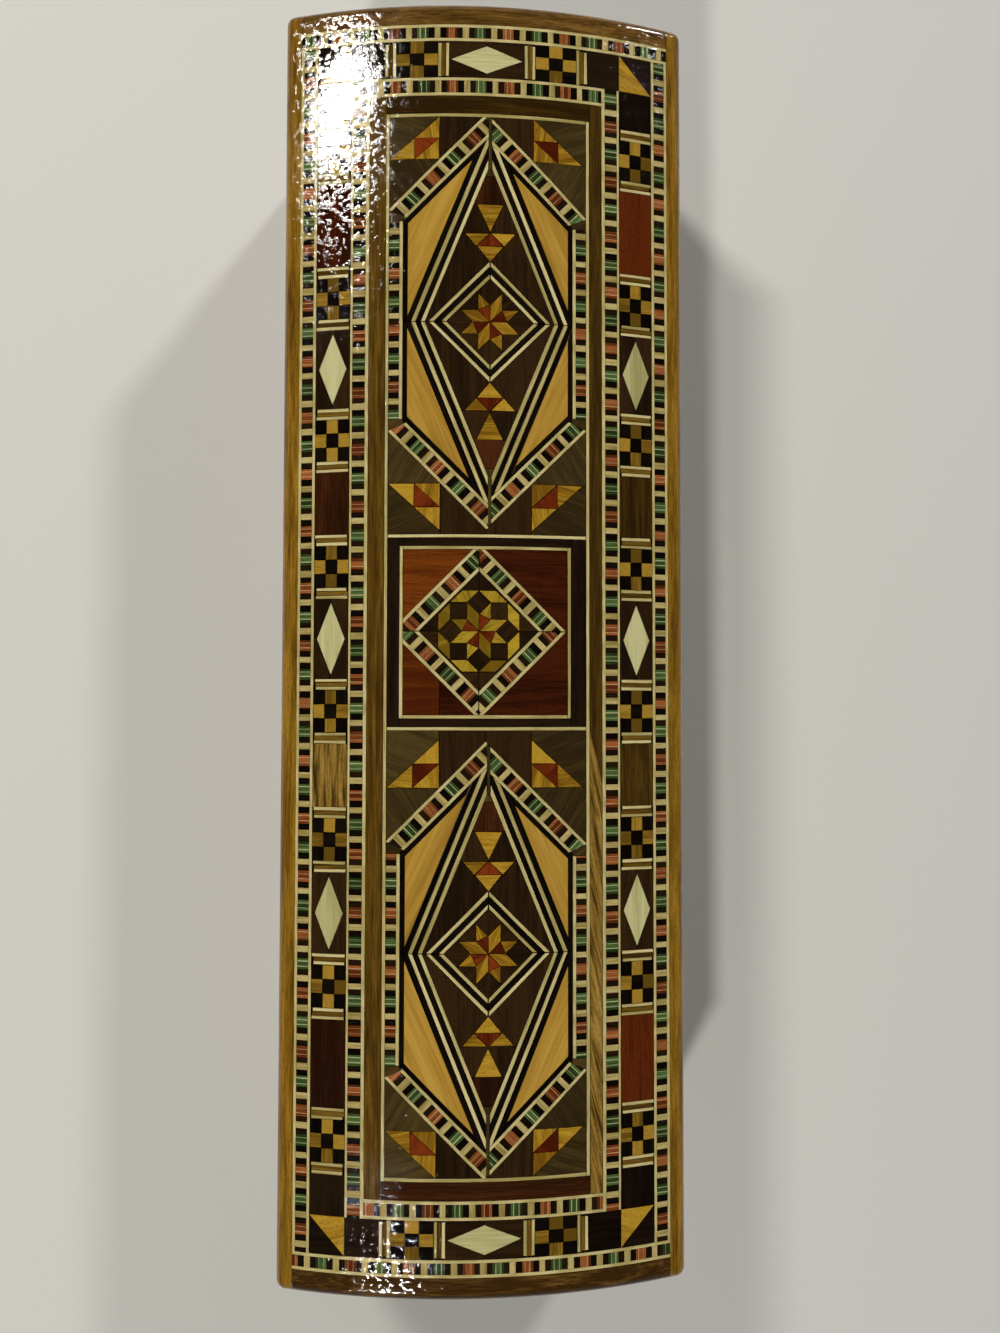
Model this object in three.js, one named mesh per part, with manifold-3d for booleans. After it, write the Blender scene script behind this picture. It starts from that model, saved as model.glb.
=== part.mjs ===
// A hinged marquetry jewellery box of the Damascus kind, in millimetres with +Z up.
// X runs along the length, -Y is the front, and the origin is the middle of the underside.
// The carcass is solid wood with rebated corners. The lid is a shallow arch: an arched panel sits in a rebate
// of the rails and gables, and the marquetry is laid over it, flush with the rails' top edges.
import * as THREE from "three";
import { mergeVertices } from "three/addons/utils/BufferGeometryUtils.js";
import Module from "manifold-3d";

const wasm = await Module();
wasm.setup();

// Overall sizes
const boxLength = 220;
const boxDepth = 70;
const boxHeight = 50; // to the crown of the lid
const archRise = 5.3; // from the long edges to the crown
const archFacets = 28;
const caseHeight = 34;
const seamGap = 0.2; // the saw line between case and lid
const edgeRound = 1.8; // corners in plan, and the lid's top edges
const roundSteps = 8;

// Carcass
const sideThickness = 6.5; // front and back, in the case and in the lid
const endThickness = 6;
const floorThickness = 4;
const floorRebate = 3; // how far the floor runs under the walls
const woodFit = 0.1; // clearance of a wood joint
const glueLine = 0.05;

// Lid
const sideLip = 2.85; // what shows of the long rails beside the marquetry
const endLip = 4.2; // the same at the ends
const panelThickness = 2.6;
const marquetryThickness = 1.2;

// Velvet lining
const liningThickness = 1.2;
const floorPadThickness = 2;
const liningFit = 0.2;
const liningDrop = 1; // how far the wall lining stops below the rim

// Side inlays
const inlayThickness = 1.2;
const inlayFoot = 3.6; // golden border under the inlay
const inlayHead = 4; // and above it
const endInlayBorder = 4; // beside the inlay on an end wall

// Marquetry borders of the lid, from the outside in
const lineWidth = 0.6; // a cream line
const outerRodWidth = 2.9; // line, rod mosaic, line
const sideBandWidth = 6;
const endBandWidth = 6.4;
const innerRodWidth = 3.15;
const sideFrameWidth = 2.85; // plain walnut
const endFrameWidth = 3.1;

// Field of the lid
const centreLength = 32; // centre panel, between its cross lines
const centreOffset = 1.1; // the centre panel sits this far towards the right end
const diagonalRodWidth = 3.1;
const straightRodWidth = 2.35; // its outer line is the field's own stringing
const pocketDepth = 0.8; // inlays let into a ground sheet
const fieldPocketDepth = 0.5; // inlays let into the light field inside the first pocket
const blackLine = 0.8;
const hexagonOverrun = 0.85; // the points of the hexagon are cut off by the stringing
const rhombusStringing = 3.05; // black, cream, black, cream
const rhombusOverrun = 0.9; // the rhombus points run past the panel's ends
const rhombusInset = 1.45; // and stop this far inside its sides
const medallionGap = 1.7; // between the small diamond and the rhombus stringing
const medallionStringing = 2.1; // cream, black, cream
const starGap = 0.3;
const starWaist = 1 / (2 * Math.cos(Math.PI / 8)); // a star of eight rhombs: inner radius over outer
const centreSideBand = 2.05; // dark band beside the centre square
const centreEndBand = 1.4;
const centreRodWidth = 2.6;
const rosetteShare = 0.95; // of the circle that fits in the centre diamond

// Hinges
const hingeSpacing = 124; // between the two hinges
const hingeLength = 18;
const hingeSetback = 2.1; // pin axis to the back face
const knuckleRadius = 1.35;
const knuckleGap = 0.3;
const knuckleSides = 24;
const pinRadius = 0.6;
const pinFit = 0.1;
const leafThickness = 0.7;
const leafWidth = 4; // from the pin axis inward
const mortiseFit = 0.1;
const leafClearance = 0.3; // a leaf to the other leaf's knuckles
const barrelClearance = 0.4; // wood round the barrel
const openAngle = 100; // where the chamfers behind the hinge meet
const stopGap = 0.3; // what is left between them there

// Derived planes
const halfLength = boxLength / 2;
const halfDepth = boxDepth / 2;
const lidBottom = caseHeight + seamGap;
const pinY = halfDepth - hingeSetback;
const pinZ = caseHeight + seamGap / 2;
const innerHalfLength = halfLength - endThickness;
const innerHalfDepth = halfDepth - sideThickness;
const arcRadius = (halfDepth ** 2 + archRise ** 2) / (2 * archRise);
const beyond = 5; // cutters run this far past what they cut

// Height of the arched surface over the seam, at depth y.
function archHeight(y) {
  return boxHeight - arcRadius + Math.sqrt(arcRadius ** 2 - y ** 2);
}

// The same facets are used by every arched surface, so that the layers lie flat on each other.
const archStations = Array.from(
  { length: archFacets + 1 },
  (_, i) => -halfDepth + (i * boxDepth) / archFacets,
);

function solidOf(geometry) {
  const bare = geometry.clone();
  bare.deleteAttribute("normal");
  bare.deleteAttribute("uv");
  const merged = mergeVertices(bare, 1e-5);
  return new wasm.Manifold(
    new wasm.Mesh({
      numProp: 3,
      vertProperties: new Float32Array(merged.attributes.position.array),
      triVerts: new Uint32Array(merged.index.array),
    }),
  );
}

function geometryOf(solid) {
  const mesh = solid.getMesh();
  const geometry = new THREE.BufferGeometry();
  geometry.setAttribute(
    "position",
    new THREE.BufferAttribute(mesh.vertProperties, 3),
  );
  geometry.setIndex(new THREE.BufferAttribute(mesh.triVerts, 1));
  const flat = geometry.toNonIndexed();
  flat.computeVertexNormals();
  return flat;
}

// An upright prism over a plan outline, [x, y] points.
function prism(outline, bottom, top) {
  const shape = new THREE.Shape(outline.map(([x, y]) => new THREE.Vector2(x, y)));
  const geometry = new THREE.ExtrudeGeometry(shape, {
    depth: top - bottom,
    bevelEnabled: false,
  });
  return solidOf(geometry.translate(0, 0, bottom));
}

// A bar along X over a [y, z] section.
const alongX = new THREE.Matrix4().makeBasis(
  new THREE.Vector3(0, 1, 0),
  new THREE.Vector3(0, 0, 1),
  new THREE.Vector3(1, 0, 0),
);

function bar(section, start, end) {
  const shape = new THREE.Shape(section.map(([y, z]) => new THREE.Vector2(y, z)));
  const geometry = new THREE.ExtrudeGeometry(shape, {
    depth: end - start,
    bevelEnabled: false,
  });
  return solidOf(geometry.translate(0, 0, start).applyMatrix4(alongX));
}

function block(x0, x1, y0, y1, z0, z1) {
  const geometry = new THREE.BoxGeometry(x1 - x0, y1 - y0, z1 - z0);
  return solidOf(
    geometry.translate((x0 + x1) / 2, (y0 + y1) / 2, (z0 + z1) / 2),
  );
}

// A round bar along X.
function rod(radius, start, end, y, z, sides = knuckleSides) {
  const geometry = new THREE.CylinderGeometry(radius, radius, end - start, sides);
  geometry.rotateZ(Math.PI / 2);
  return solidOf(geometry.translate((start + end) / 2, y, z));
}

function rectangle(halfX, halfY, centreX = 0) {
  return [
    [centreX - halfX, -halfY],
    [centreX + halfX, -halfY],
    [centreX + halfX, halfY],
    [centreX - halfX, halfY],
  ];
}

// A rectangle with rounded corners, as the boxes' plan.
function roundedPlan(halfX, halfY, radius) {
  const points = [];
  const corners = [
    [1, 1],
    [-1, 1],
    [-1, -1],
    [1, -1],
  ];
  corners.forEach(([sx, sy], i) => {
    for (let step = 0; step <= roundSteps; step += 1) {
      const angle = ((i + step / roundSteps) * Math.PI) / 2;
      points.push([
        sx * (halfX - radius) + radius * Math.cos(angle),
        sy * (halfY - radius) + radius * Math.sin(angle),
      ]);
    }
  });
  return points;
}

// A slab under the arched surface, between two depths below it. A negative depth lies above the surface.
function archSlab(upperDepth, lowerDepth, halfX = halfLength + beyond) {
  const upper = archStations.map((y) => [y, archHeight(y) - upperDepth]);
  const lower = archStations.map((y) => [y, archHeight(y) - lowerDepth]);
  return bar([...lower, ...upper.reverse()], -halfX, halfX);
}

// The lid's outer form: an arched section with rounded shoulders, drawn in towards each end by the same radius.
function lidSection() {
  const shoulderY = halfDepth - edgeRound;
  const arcCentreZ = boxHeight - arcRadius;
  const shoulderZ = arcCentreZ + Math.sqrt((arcRadius - edgeRound) ** 2 - shoulderY ** 2);
  const lean = Math.atan2(shoulderY, shoulderZ - arcCentreZ);
  const right = [];
  right.push({ y: halfDepth, z: lidBottom, ny: 1, nz: 0 });
  for (let step = 0; step <= roundSteps; step += 1) {
    const angle = (step / roundSteps) * (Math.PI / 2 - lean);
    const ny = Math.cos(angle);
    const nz = Math.sin(angle);
    right.push({ y: shoulderY + edgeRound * ny, z: shoulderZ + edgeRound * nz, ny, nz });
  }
  const tangentY = right.at(-1).y;
  const top = archStations
    .filter((y) => Math.abs(y) < tangentY - 0.2)
    .reverse()
    .map((y) => ({
      y,
      z: archHeight(y),
      ny: y / arcRadius,
      nz: Math.sqrt(1 - (y / arcRadius) ** 2),
    }));
  const left = right.map((p) => ({ y: -p.y, z: p.z, ny: -p.ny, nz: p.nz })).reverse();
  return [...right, ...top, ...left];
}

// Joins equal rings of points into a closed body.
function loft(rings) {
  const count = rings[0].length;
  const positions = rings.flat(2);
  const faces = [];
  for (let ring = 0; ring < rings.length - 1; ring += 1) {
    for (let i = 0; i < count; i += 1) {
      const a = ring * count + i;
      const b = ring * count + ((i + 1) % count);
      faces.push(a, b, b + count, a, b + count, a + count);
    }
  }
  const cap = THREE.ShapeUtils.triangulateShape(
    rings[0].map(([, y, z]) => new THREE.Vector2(y, z)),
    [],
  );
  const last = (rings.length - 1) * count;
  for (const [a, b, c] of cap) {
    faces.push(c, b, a, last + a, last + b, last + c);
  }
  const geometry = new THREE.BufferGeometry();
  geometry.setAttribute("position", new THREE.Float32BufferAttribute(positions, 3));
  geometry.setIndex(faces);
  return solidOf(geometry);
}

function lidEnvelope() {
  const section = lidSection();
  const stations = [];
  for (let step = roundSteps; step >= 0; step -= 1) {
    const angle = (step / roundSteps) * (Math.PI / 2);
    stations.push({
      x: halfLength - edgeRound + edgeRound * Math.sin(angle),
      inset: edgeRound * (1 - Math.cos(angle)),
    });
  }
  const ringAt = (x, inset) => section.map((p) => [x, p.y - inset * p.ny, p.z - inset * p.nz]);
  return loft([
    ...stations.map(({ x, inset }) => ringAt(-x, inset)),
    ...stations.reverse().map(({ x, inset }) => ringAt(x, inset)),
  ]);
}

// The plan of a long wall: full length outside, rebated at both ends for the end walls.
function longWallPlan(side) {
  const outer = side * (halfDepth + beyond);
  const lip = side * (halfDepth - sideLip);
  const inner = side * innerHalfDepth;
  const points = [
    [-halfLength - beyond, outer],
    [halfLength + beyond, outer],
    [halfLength + beyond, lip],
    [innerHalfLength, lip],
    [innerHalfLength, inner],
    [-innerHalfLength, inner],
    [-innerHalfLength, lip],
    [-halfLength - beyond, lip],
  ];
  return side < 0 ? points : points.reverse();
}

function endWallPlan() {
  const inner = innerHalfLength + woodFit;
  const end = halfLength + beyond;
  return rectangle((end - inner) / 2, halfDepth - sideLip - woodFit, (end + inner) / 2);
}

// The V behind the hinge: everything within half the opening angle of the seam plane, outside the pin axis.
function backChamfer(sign) {
  const half = THREE.MathUtils.degToRad(openAngle / 2);
  const offset = stopGap / 2 / Math.cos(half);
  const reach = hingeSetback + beyond;
  const start = -2;
  return bar(
    [
      [pinY + start, pinZ - sign * (offset + start * Math.tan(half))],
      [pinY + reach, pinZ - sign * (offset + reach * Math.tan(half))],
      [pinY + reach, pinZ + sign * (reach * Math.tan(half))],
      [pinY + start, pinZ + sign * (reach * Math.tan(half))],
    ],
    -halfLength - beyond,
    halfLength + beyond,
  );
}

const hingeCentres = [-hingeSpacing / 2, hingeSpacing / 2];

// The recess for one hinge in a wall edge: a shallow bed for the leaf and a groove for the barrel.
function hingeRecess(x, sign) {
  const half = hingeLength / 2 + knuckleGap;
  const face = pinZ - (sign * seamGap) / 2;
  const deep = face - sign * (leafThickness + mortiseFit);
  const bed = block(
    x - half,
    x + half,
    innerHalfDepth - beyond,
    pinY,
    Math.min(deep, face + sign * beyond),
    Math.max(deep, face + sign * beyond),
  );
  const groove = rod(knuckleRadius + barrelClearance, x - half, x + half, pinY, pinZ);
  return bed.add(groove);
}

// One hinge leaf with its knuckles. sign 1 is the case leaf, under the pin, and -1 the lid leaf, above it.
function hingeLeaf(sign) {
  const knuckleLength = (hingeLength - 2 * knuckleGap) / 3;
  const half = hingeLength / 2;
  const middle = [-knuckleLength / 2, knuckleLength / 2];
  const spans =
    sign > 0
      ? [
          [-half, middle[0] - knuckleGap],
          [middle[1] + knuckleGap, half],
        ]
      : [middle];
  const near = (-sign * seamGap) / 2;
  const far = near - sign * leafThickness;
  const low = Math.min(near, far);
  const high = Math.max(near, far);
  const clear = knuckleRadius + leafClearance;
  let leaf = block(-half, half, -leafWidth, -clear, low, high);
  const bore = rod(pinRadius + pinFit, -half - beyond, half + beyond, 0, 0, 12);
  for (const [start, end] of spans) {
    leaf = leaf.add(block(start, end, -clear - 0.5, -knuckleRadius * 0.7, low, high));
    leaf = leaf.add(rod(knuckleRadius, start, end, 0, 0));
  }
  return leaf.subtract(bore);
}

// Plan outlines of the marquetry. A rhombus is given by its half-diagonals.
function rhombus(halfX, halfY, centreX = 0) {
  return [
    [centreX - halfX, 0],
    [centreX, -halfY],
    [centreX + halfX, 0],
    [centreX, halfY],
  ];
}

const rhombusReach = (halfX, halfY) => (halfX * halfY) / Math.hypot(halfX, halfY);

// The half-diagonals of a rhombus drawn in by a width all round.
function insetRhombus([halfX, halfY], width) {
  const share = 1 - width / rhombusReach(halfX, halfY);
  return [halfX * share, halfY * share];
}

// A long hexagon with 45 degree points on the box's long axis, drawn in by one width at its straight sides and
// another at its points.
function hexagon(tipX, halfY, centreX, { side: sideInset, point: pointInset }) {
  const tip = tipX - pointInset * Math.SQRT2;
  const side = halfY - sideInset;
  return [
    [centreX - tip, 0],
    [centreX - tip + side, -side],
    [centreX + tip - side, -side],
    [centreX + tip, 0],
    [centreX + tip - side, side],
    [centreX - tip + side, side],
  ];
}

// An eight-pointed star whose points stand either side of the axes.
function star(radius, centreX) {
  const points = [];
  for (let i = 0; i < 16; i += 1) {
    const angle = (i * Math.PI) / 8;
    const r = i % 2 ? radius : radius * starWaist;
    points.push([centreX + r * Math.cos(angle), r * Math.sin(angle)]);
  }
  return points;
}

const material = (color, roughness, metalness = 0) =>
  new THREE.MeshStandardMaterial({ color, roughness, metalness, flatShading: true });

const golden = () => material(0x9a6f1e, 0.3);
const darkWalnut = () => material(0x33220f, 0.3);
const walnut = () => material(0x6b4a22, 0.3);
const cream = () => material(0xd0c090, 0.35);
const rodMosaic = () => material(0xb4553a, 0.35);
const maple = () => material(0xc08f3e, 0.3);
const mahogany = () => material(0x6a2410, 0.3);
const ebony = () => material(0x1a0f0a, 0.3);
const velvet = () => material(0x5a0d16, 0.95);
const brass = () => material(0xb5892f, 0.35, 0.9);

const jewelleryBox = new THREE.Group();
const caseGroup = new THREE.Group();
const lidGroup = new THREE.Group();
lidGroup.position.set(0, pinY, pinZ); // the lid turns about its hinge pins
jewelleryBox.add(caseGroup, lidGroup);

function addTo(group, name, solid, finish, place = [0, 0, 0]) {
  const mesh = new THREE.Mesh(geometryOf(solid), finish);
  mesh.name = name;
  mesh.position.set(...place);
  group.add(mesh);
  return mesh;
}

const addCase = (name, solid, finish, place) => addTo(caseGroup, name, solid, finish, place);

// Pieces of the lid are drawn where they lie when it is shut.
const addLid = (name, solid, finish, [x, y, z] = [0, 0, 0]) =>
  addTo(lidGroup, name, solid, finish, [x, y - pinY, z - pinZ]);

// A second copy of a piece, turned half round the middle of the box.
function addOpposite(group, name, mesh, finish) {
  const copy = new THREE.Mesh(mesh.geometry, finish);
  copy.name = name;
  copy.position.copy(mesh.position);
  copy.rotation.z = Math.PI;
  group.add(copy);
}

// Case
const casePlan = roundedPlan(halfLength, halfDepth, edgeRound);
const caseBlank = prism(casePlan, 0, caseHeight);
const floorPlan = (clearance) =>
  rectangle(
    innerHalfLength + floorRebate - clearance,
    innerHalfDepth + floorRebate - clearance,
  );
const floorBed = prism(floorPlan(0), -beyond, floorThickness);
const inlayBottom = inlayFoot;
const inlayTop = caseHeight - inlayHead;

function sideInlay(side, clearance) {
  const outer = side * halfDepth;
  const inner = outer - side * (inlayThickness - clearance);
  return block(
    -halfLength + endLip + clearance,
    halfLength - endLip - clearance,
    Math.min(inner, outer + (clearance ? 0 : side * beyond)),
    Math.max(inner, outer + (clearance ? 0 : side * beyond)),
    inlayBottom + clearance,
    inlayTop - clearance,
  );
}

function endInlay(clearance) {
  const halfWidth = halfDepth - sideLip - endInlayBorder - clearance;
  return block(
    halfLength - inlayThickness + clearance,
    halfLength + (clearance ? 0 : beyond),
    -halfWidth,
    halfWidth,
    inlayBottom + clearance,
    inlayTop - clearance,
  );
}

const frontWall = caseBlank
  .intersect(prism(longWallPlan(-1), -beyond, caseHeight + beyond))
  .subtract(floorBed)
  .subtract(sideInlay(-1, 0));
addCase("case_front_wall", frontWall, golden());

let backWall = caseBlank
  .intersect(prism(longWallPlan(1), -beyond, caseHeight + beyond))
  .subtract(floorBed)
  .subtract(sideInlay(1, 0))
  .subtract(backChamfer(1));
for (const x of hingeCentres) {
  backWall = backWall.subtract(hingeRecess(x, 1));
}
addCase("case_back_wall", backWall, golden());

const rightEnd = caseBlank
  .intersect(prism(endWallPlan(), -beyond, caseHeight + beyond))
  .subtract(floorBed)
  .subtract(endInlay(0));
const rightEndMesh = addCase("case_right_end", rightEnd, walnut());
addOpposite(caseGroup, "case_left_end", rightEndMesh, walnut());

const floorPanel = prism(floorPlan(woodFit), 0, floorThickness - woodFit);
addCase("case_floor", floorPanel, walnut());

addCase("front_inlay", sideInlay(-1, glueLine), darkWalnut());
addCase("back_inlay", sideInlay(1, glueLine), darkWalnut());
const rightInlay = addCase("right_end_inlay", endInlay(glueLine), darkWalnut());
addOpposite(caseGroup, "left_end_inlay", rightInlay, darkWalnut());

// Lining of the case: a strip of covered card folded round the walls, and a pad on the floor inside it
const liningHalfLength = innerHalfLength - liningFit;
const liningHalfDepth = innerHalfDepth - liningFit;
const liningTop = caseHeight - liningDrop;
const wallLining = prism(rectangle(liningHalfLength, liningHalfDepth), floorThickness, liningTop).subtract(
  prism(
    rectangle(liningHalfLength - liningThickness, liningHalfDepth - liningThickness),
    floorThickness - beyond,
    liningTop + beyond,
  ),
);
addCase("wall_lining", wallLining, velvet());
const padInset = liningThickness + liningFit;
const floorPad = prism(
  rectangle(liningHalfLength - padInset, liningHalfDepth - padInset),
  floorThickness,
  floorThickness + floorPadThickness,
);
addCase("floor_pad", floorPad, velvet());

// Lid rails and gables
const envelope = lidEnvelope();
const panelBedDepth = marquetryThickness + panelThickness + glueLine;
const panelPlan = (clearance) =>
  rectangle(halfLength - endLip - clearance, halfDepth - sideLip - clearance);
const topPocket = prism(panelPlan(0), caseHeight, boxHeight + beyond).intersect(
  archSlab(-beyond, panelBedDepth),
);
const frontRail = envelope
  .intersect(prism(longWallPlan(-1), 0, boxHeight + beyond))
  .subtract(topPocket);
addLid("lid_front_rail", frontRail, golden());

let backRail = envelope
  .intersect(prism(longWallPlan(1), 0, boxHeight + beyond))
  .subtract(topPocket)
  .subtract(backChamfer(-1));
for (const x of hingeCentres) {
  backRail = backRail.subtract(hingeRecess(x, -1));
}
addLid("lid_back_rail", backRail, golden());

const gable = envelope
  .intersect(prism(endWallPlan(), 0, boxHeight + beyond))
  .subtract(topPocket);
const rightGable = addLid("lid_right_gable", gable, walnut());
addOpposite(lidGroup, "lid_left_gable", rightGable, walnut());

const lidPanel = prism(panelPlan(woodFit), 0, boxHeight + beyond).intersect(
  archSlab(marquetryThickness, marquetryThickness + panelThickness),
);
addLid("lid_panel", lidPanel, walnut());

const lidLining = prism(
  rectangle(innerHalfLength - liningFit, innerHalfDepth - liningFit),
  0,
  boxHeight + beyond,
).intersect(archSlab(panelBedDepth + glueLine, panelBedDepth + glueLine + liningThickness));
addLid("lid_lining", lidLining, velvet());

// Marquetry of the lid. A piece is its plan outline cut out of the arched sheet.
function veneer(outline, depth = marquetryThickness - glueLine, from = 0) {
  return prism(outline, caseHeight, boxHeight + beyond).intersect(archSlab(from, depth));
}

// A piece with an opening in it.
function veneerRing(outer, inner, depth) {
  return veneer(outer, depth).subtract(prism(inner, 0, boxHeight + beyond));
}

// A sheet with a pocket let into it from above.
function pocketed(outer, pocket, depth, sheetDepth) {
  const cut = prism(pocket, 0, boxHeight + beyond).intersect(archSlab(-beyond, depth));
  return veneer(outer, sheetDepth).subtract(cut);
}

// A border strip along the front or an end: a rectangle between two distances from the middle.
function frontStrip(halfX, outerY, innerY) {
  return [
    [-halfX, -outerY],
    [halfX, -outerY],
    [halfX, -innerY],
    [-halfX, -innerY],
  ];
}

function endStrip(outerX, innerX, halfY) {
  return [
    [innerX, -halfY],
    [outerX, -halfY],
    [outerX, halfY],
    [innerX, halfY],
  ];
}

function addFourStrips(name, outer, inner, endsRunThrough, sideFinish, endFinish = sideFinish) {
  const [outerX, outerY] = outer;
  const [innerX, innerY] = inner;
  const g = glueLine;
  const longHalf = endsRunThrough ? innerX : outerX;
  const endHalf = endsRunThrough ? outerY : innerY;
  const front = veneer(frontStrip(longHalf - g, outerY - g, innerY + g));
  const end = veneer(endStrip(outerX - g, innerX + g, endHalf - g));
  const frontMesh = addLid("front_" + name, front, sideFinish());
  addOpposite(lidGroup, "back_" + name, frontMesh, sideFinish());
  const endMesh = addLid("right_" + name, end, endFinish());
  addOpposite(lidGroup, "left_" + name, endMesh, endFinish());
}

const inward = ([x, y], endWidth, sideWidth) => [x - endWidth, y - sideWidth];
const marquetryEdge = [halfLength - endLip, halfDepth - sideLip];
const outerRodInner = inward(marquetryEdge, outerRodWidth, outerRodWidth);
const bandInner = inward(outerRodInner, endBandWidth, sideBandWidth);
const innerRodInner = inward(bandInner, innerRodWidth, innerRodWidth);
const frameInner = inward(innerRodInner, endFrameWidth, sideFrameWidth);
const field = inward(frameInner, lineWidth, lineWidth);

addFourStrips("outer_rod_strip", marquetryEdge, outerRodInner, true, rodMosaic);
addFourStrips("checker_band", outerRodInner, bandInner, true, darkWalnut);
addFourStrips("inner_rod_strip", bandInner, innerRodInner, false, rodMosaic);
addFourStrips("walnut_frame", innerRodInner, frameInner, false, walnut, darkWalnut);

// Cream stringing round the field, with the two cross lines beside the centre panel
const crossLines = [
  centreOffset - centreLength / 2 - lineWidth,
  centreOffset + centreLength / 2,
];
const panels = [
  { name: "left", start: -field[0], end: crossLines[0] },
  { name: "right", start: crossLines[1] + lineWidth, end: field[0] },
];
const [fieldHalfLength, fieldHalfDepth] = field;
const openings = [
  ...panels,
  { start: crossLines[0] + lineWidth, end: crossLines[1] },
];
let stringing = veneer(rectangle(frameInner[0] - glueLine, frameInner[1] - glueLine));
for (const { start, end } of openings) {
  const window = rectangle((end - start) / 2, fieldHalfDepth, (start + end) / 2);
  stringing = stringing.subtract(prism(window, 0, boxHeight + beyond));
}
addLid("field_stringing", stringing, cream());

// A diamond panel: a hexagon of rod strips, a light field, and a rhombus that holds a star medallion
function addDiamondPanel({ name, start, end }) {
  const g = glueLine;
  const centre = (start + end) / 2;
  const halfX = (end - start) / 2 - g;
  const halfY = fieldHalfDepth - g;
  const hexAt = (insets) => hexagon(halfX + hexagonOverrun, halfY, centre, insets);
  const outerHex = { side: 0, point: 0 };
  const innerHex = { side: straightRodWidth + blackLine, point: diagonalRodWidth + blackLine };
  const shrunk = (insets) => ({ side: insets.side + g, point: insets.point + g });
  const panelName = (part) => name + "_panel_" + part;

  const ground = pocketed(
    rectangle(halfX, halfY, centre),
    hexAt({ side: -beyond, point: 0 }),
    pocketDepth,
    marquetryThickness - g,
  );
  addLid(panelName("ground"), ground, darkWalnut());

  const panelPrism = prism(rectangle(halfX, halfY, centre), 0, boxHeight + beyond);
  const rodHexagon = veneerRing(
    hexAt(shrunk(outerHex)),
    hexAt(innerHex),
    pocketDepth - g,
  ).intersect(panelPrism);
  addLid(panelName("rod_hexagon"), rodHexagon, rodMosaic());

  const outline = [halfX + rhombusOverrun, halfY - rhombusInset];
  const rhombusOf = ([x, y]) => rhombus(x, y, centre);
  const fieldHex = hexAt(shrunk(innerHex));
  const lightField = pocketed(fieldHex, rhombusOf(outline), fieldPocketDepth, pocketDepth - g);
  addLid(panelName("light_field"), lightField, maple());

  const stringingInner = insetRhombus(outline, rhombusStringing);
  const clipped = prism(fieldHex, 0, boxHeight + beyond);
  const outlineRing = veneerRing(
    rhombusOf(insetRhombus(outline, g)),
    rhombusOf(stringingInner),
    fieldPocketDepth - g,
  ).intersect(clipped);
  addLid(panelName("rhombus_stringing"), outlineRing, cream());

  const medallion = [stringingInner[1] - medallionGap, stringingInner[1] - medallionGap];
  const rhombusGround = veneerRing(
    rhombusOf(insetRhombus(stringingInner, g)),
    rhombusOf(medallion),
    fieldPocketDepth - g,
  );
  addLid(panelName("rhombus"), rhombusGround, darkWalnut());

  const starSpace = insetRhombus(medallion, medallionStringing);
  const starRadius = (starSpace[0] / (Math.cos(Math.PI / 8) + Math.sin(Math.PI / 8))) - starGap;
  const medallionPlate = veneerRing(
    rhombusOf(insetRhombus(medallion, g)),
    star(starRadius, centre),
    fieldPocketDepth - g,
  );
  addLid(panelName("medallion"), medallionPlate, ebony());
  addLid(panelName("star"), veneer(star(starRadius - g, centre), fieldPocketDepth - g), golden());
}

for (const panel of panels) {
  addDiamondPanel(panel);
}

// Centre panel: a dark band, a mahogany square, a diamond of rod strips and an eight-pointed rosette
function addCentrePanel() {
  const g = glueLine;
  const halfX = centreLength / 2 - g;
  const halfY = fieldHalfDepth - g;
  const square = [halfX - centreEndBand, halfY - centreSideBand];
  const plan = ([x, y], clearance = 0) =>
    rectangle(x - clearance, y - clearance, centreOffset);
  addLid(
    "centre_panel_band",
    veneerRing(plan([halfX, halfY]), plan(square), marquetryThickness - g),
    ebony(),
  );
  const inner = [square[0] - lineWidth, square[1] - lineWidth];
  const diamondOf = ([x, y]) => rhombus(x, y, centreOffset);
  addLid(
    "centre_panel_ground",
    pocketed(plan(square, g), diamondOf(inner), pocketDepth, marquetryThickness - g),
    mahogany(),
  );
  const rodInner = insetRhombus(inner, centreRodWidth);
  addLid(
    "centre_panel_rod_diamond",
    veneerRing(diamondOf(insetRhombus(inner, g)), diamondOf(rodInner), pocketDepth - g),
    rodMosaic(),
  );
  const radius = rhombusReach(...rodInner) * rosetteShare;
  addLid(
    "centre_panel_medallion",
    veneerRing(diamondOf(insetRhombus(rodInner, g)), star(radius, centreOffset), pocketDepth - g),
    ebony(),
  );
  addLid(
    "centre_panel_rosette",
    veneer(star(radius - g, centreOffset), pocketDepth - g),
    golden(),
  );
}

addCentrePanel();

// Hinges
const leaves = [
  { part: "case_leaf", leaf: hingeLeaf(1), add: addCase },
  { part: "lid_leaf", leaf: hingeLeaf(-1), add: addLid },
];
const pin = rod(pinRadius, -hingeLength / 2, hingeLength / 2, 0, 0, 12);
for (const [i, side] of ["left", "right"].entries()) {
  const place = [hingeCentres[i], pinY, pinZ];
  for (const { part, leaf, add } of leaves) {
    add("hinge_" + side + "_" + part, leaf, brass(), place);
  }
  addCase("hinge_" + side + "_pin", pin, brass(), place);
}

export default jewelleryBox;
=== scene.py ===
import math
import random
from functools import partial

import bmesh
import bpy
import numpy as np
from mathutils import Matrix, Vector


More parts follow.
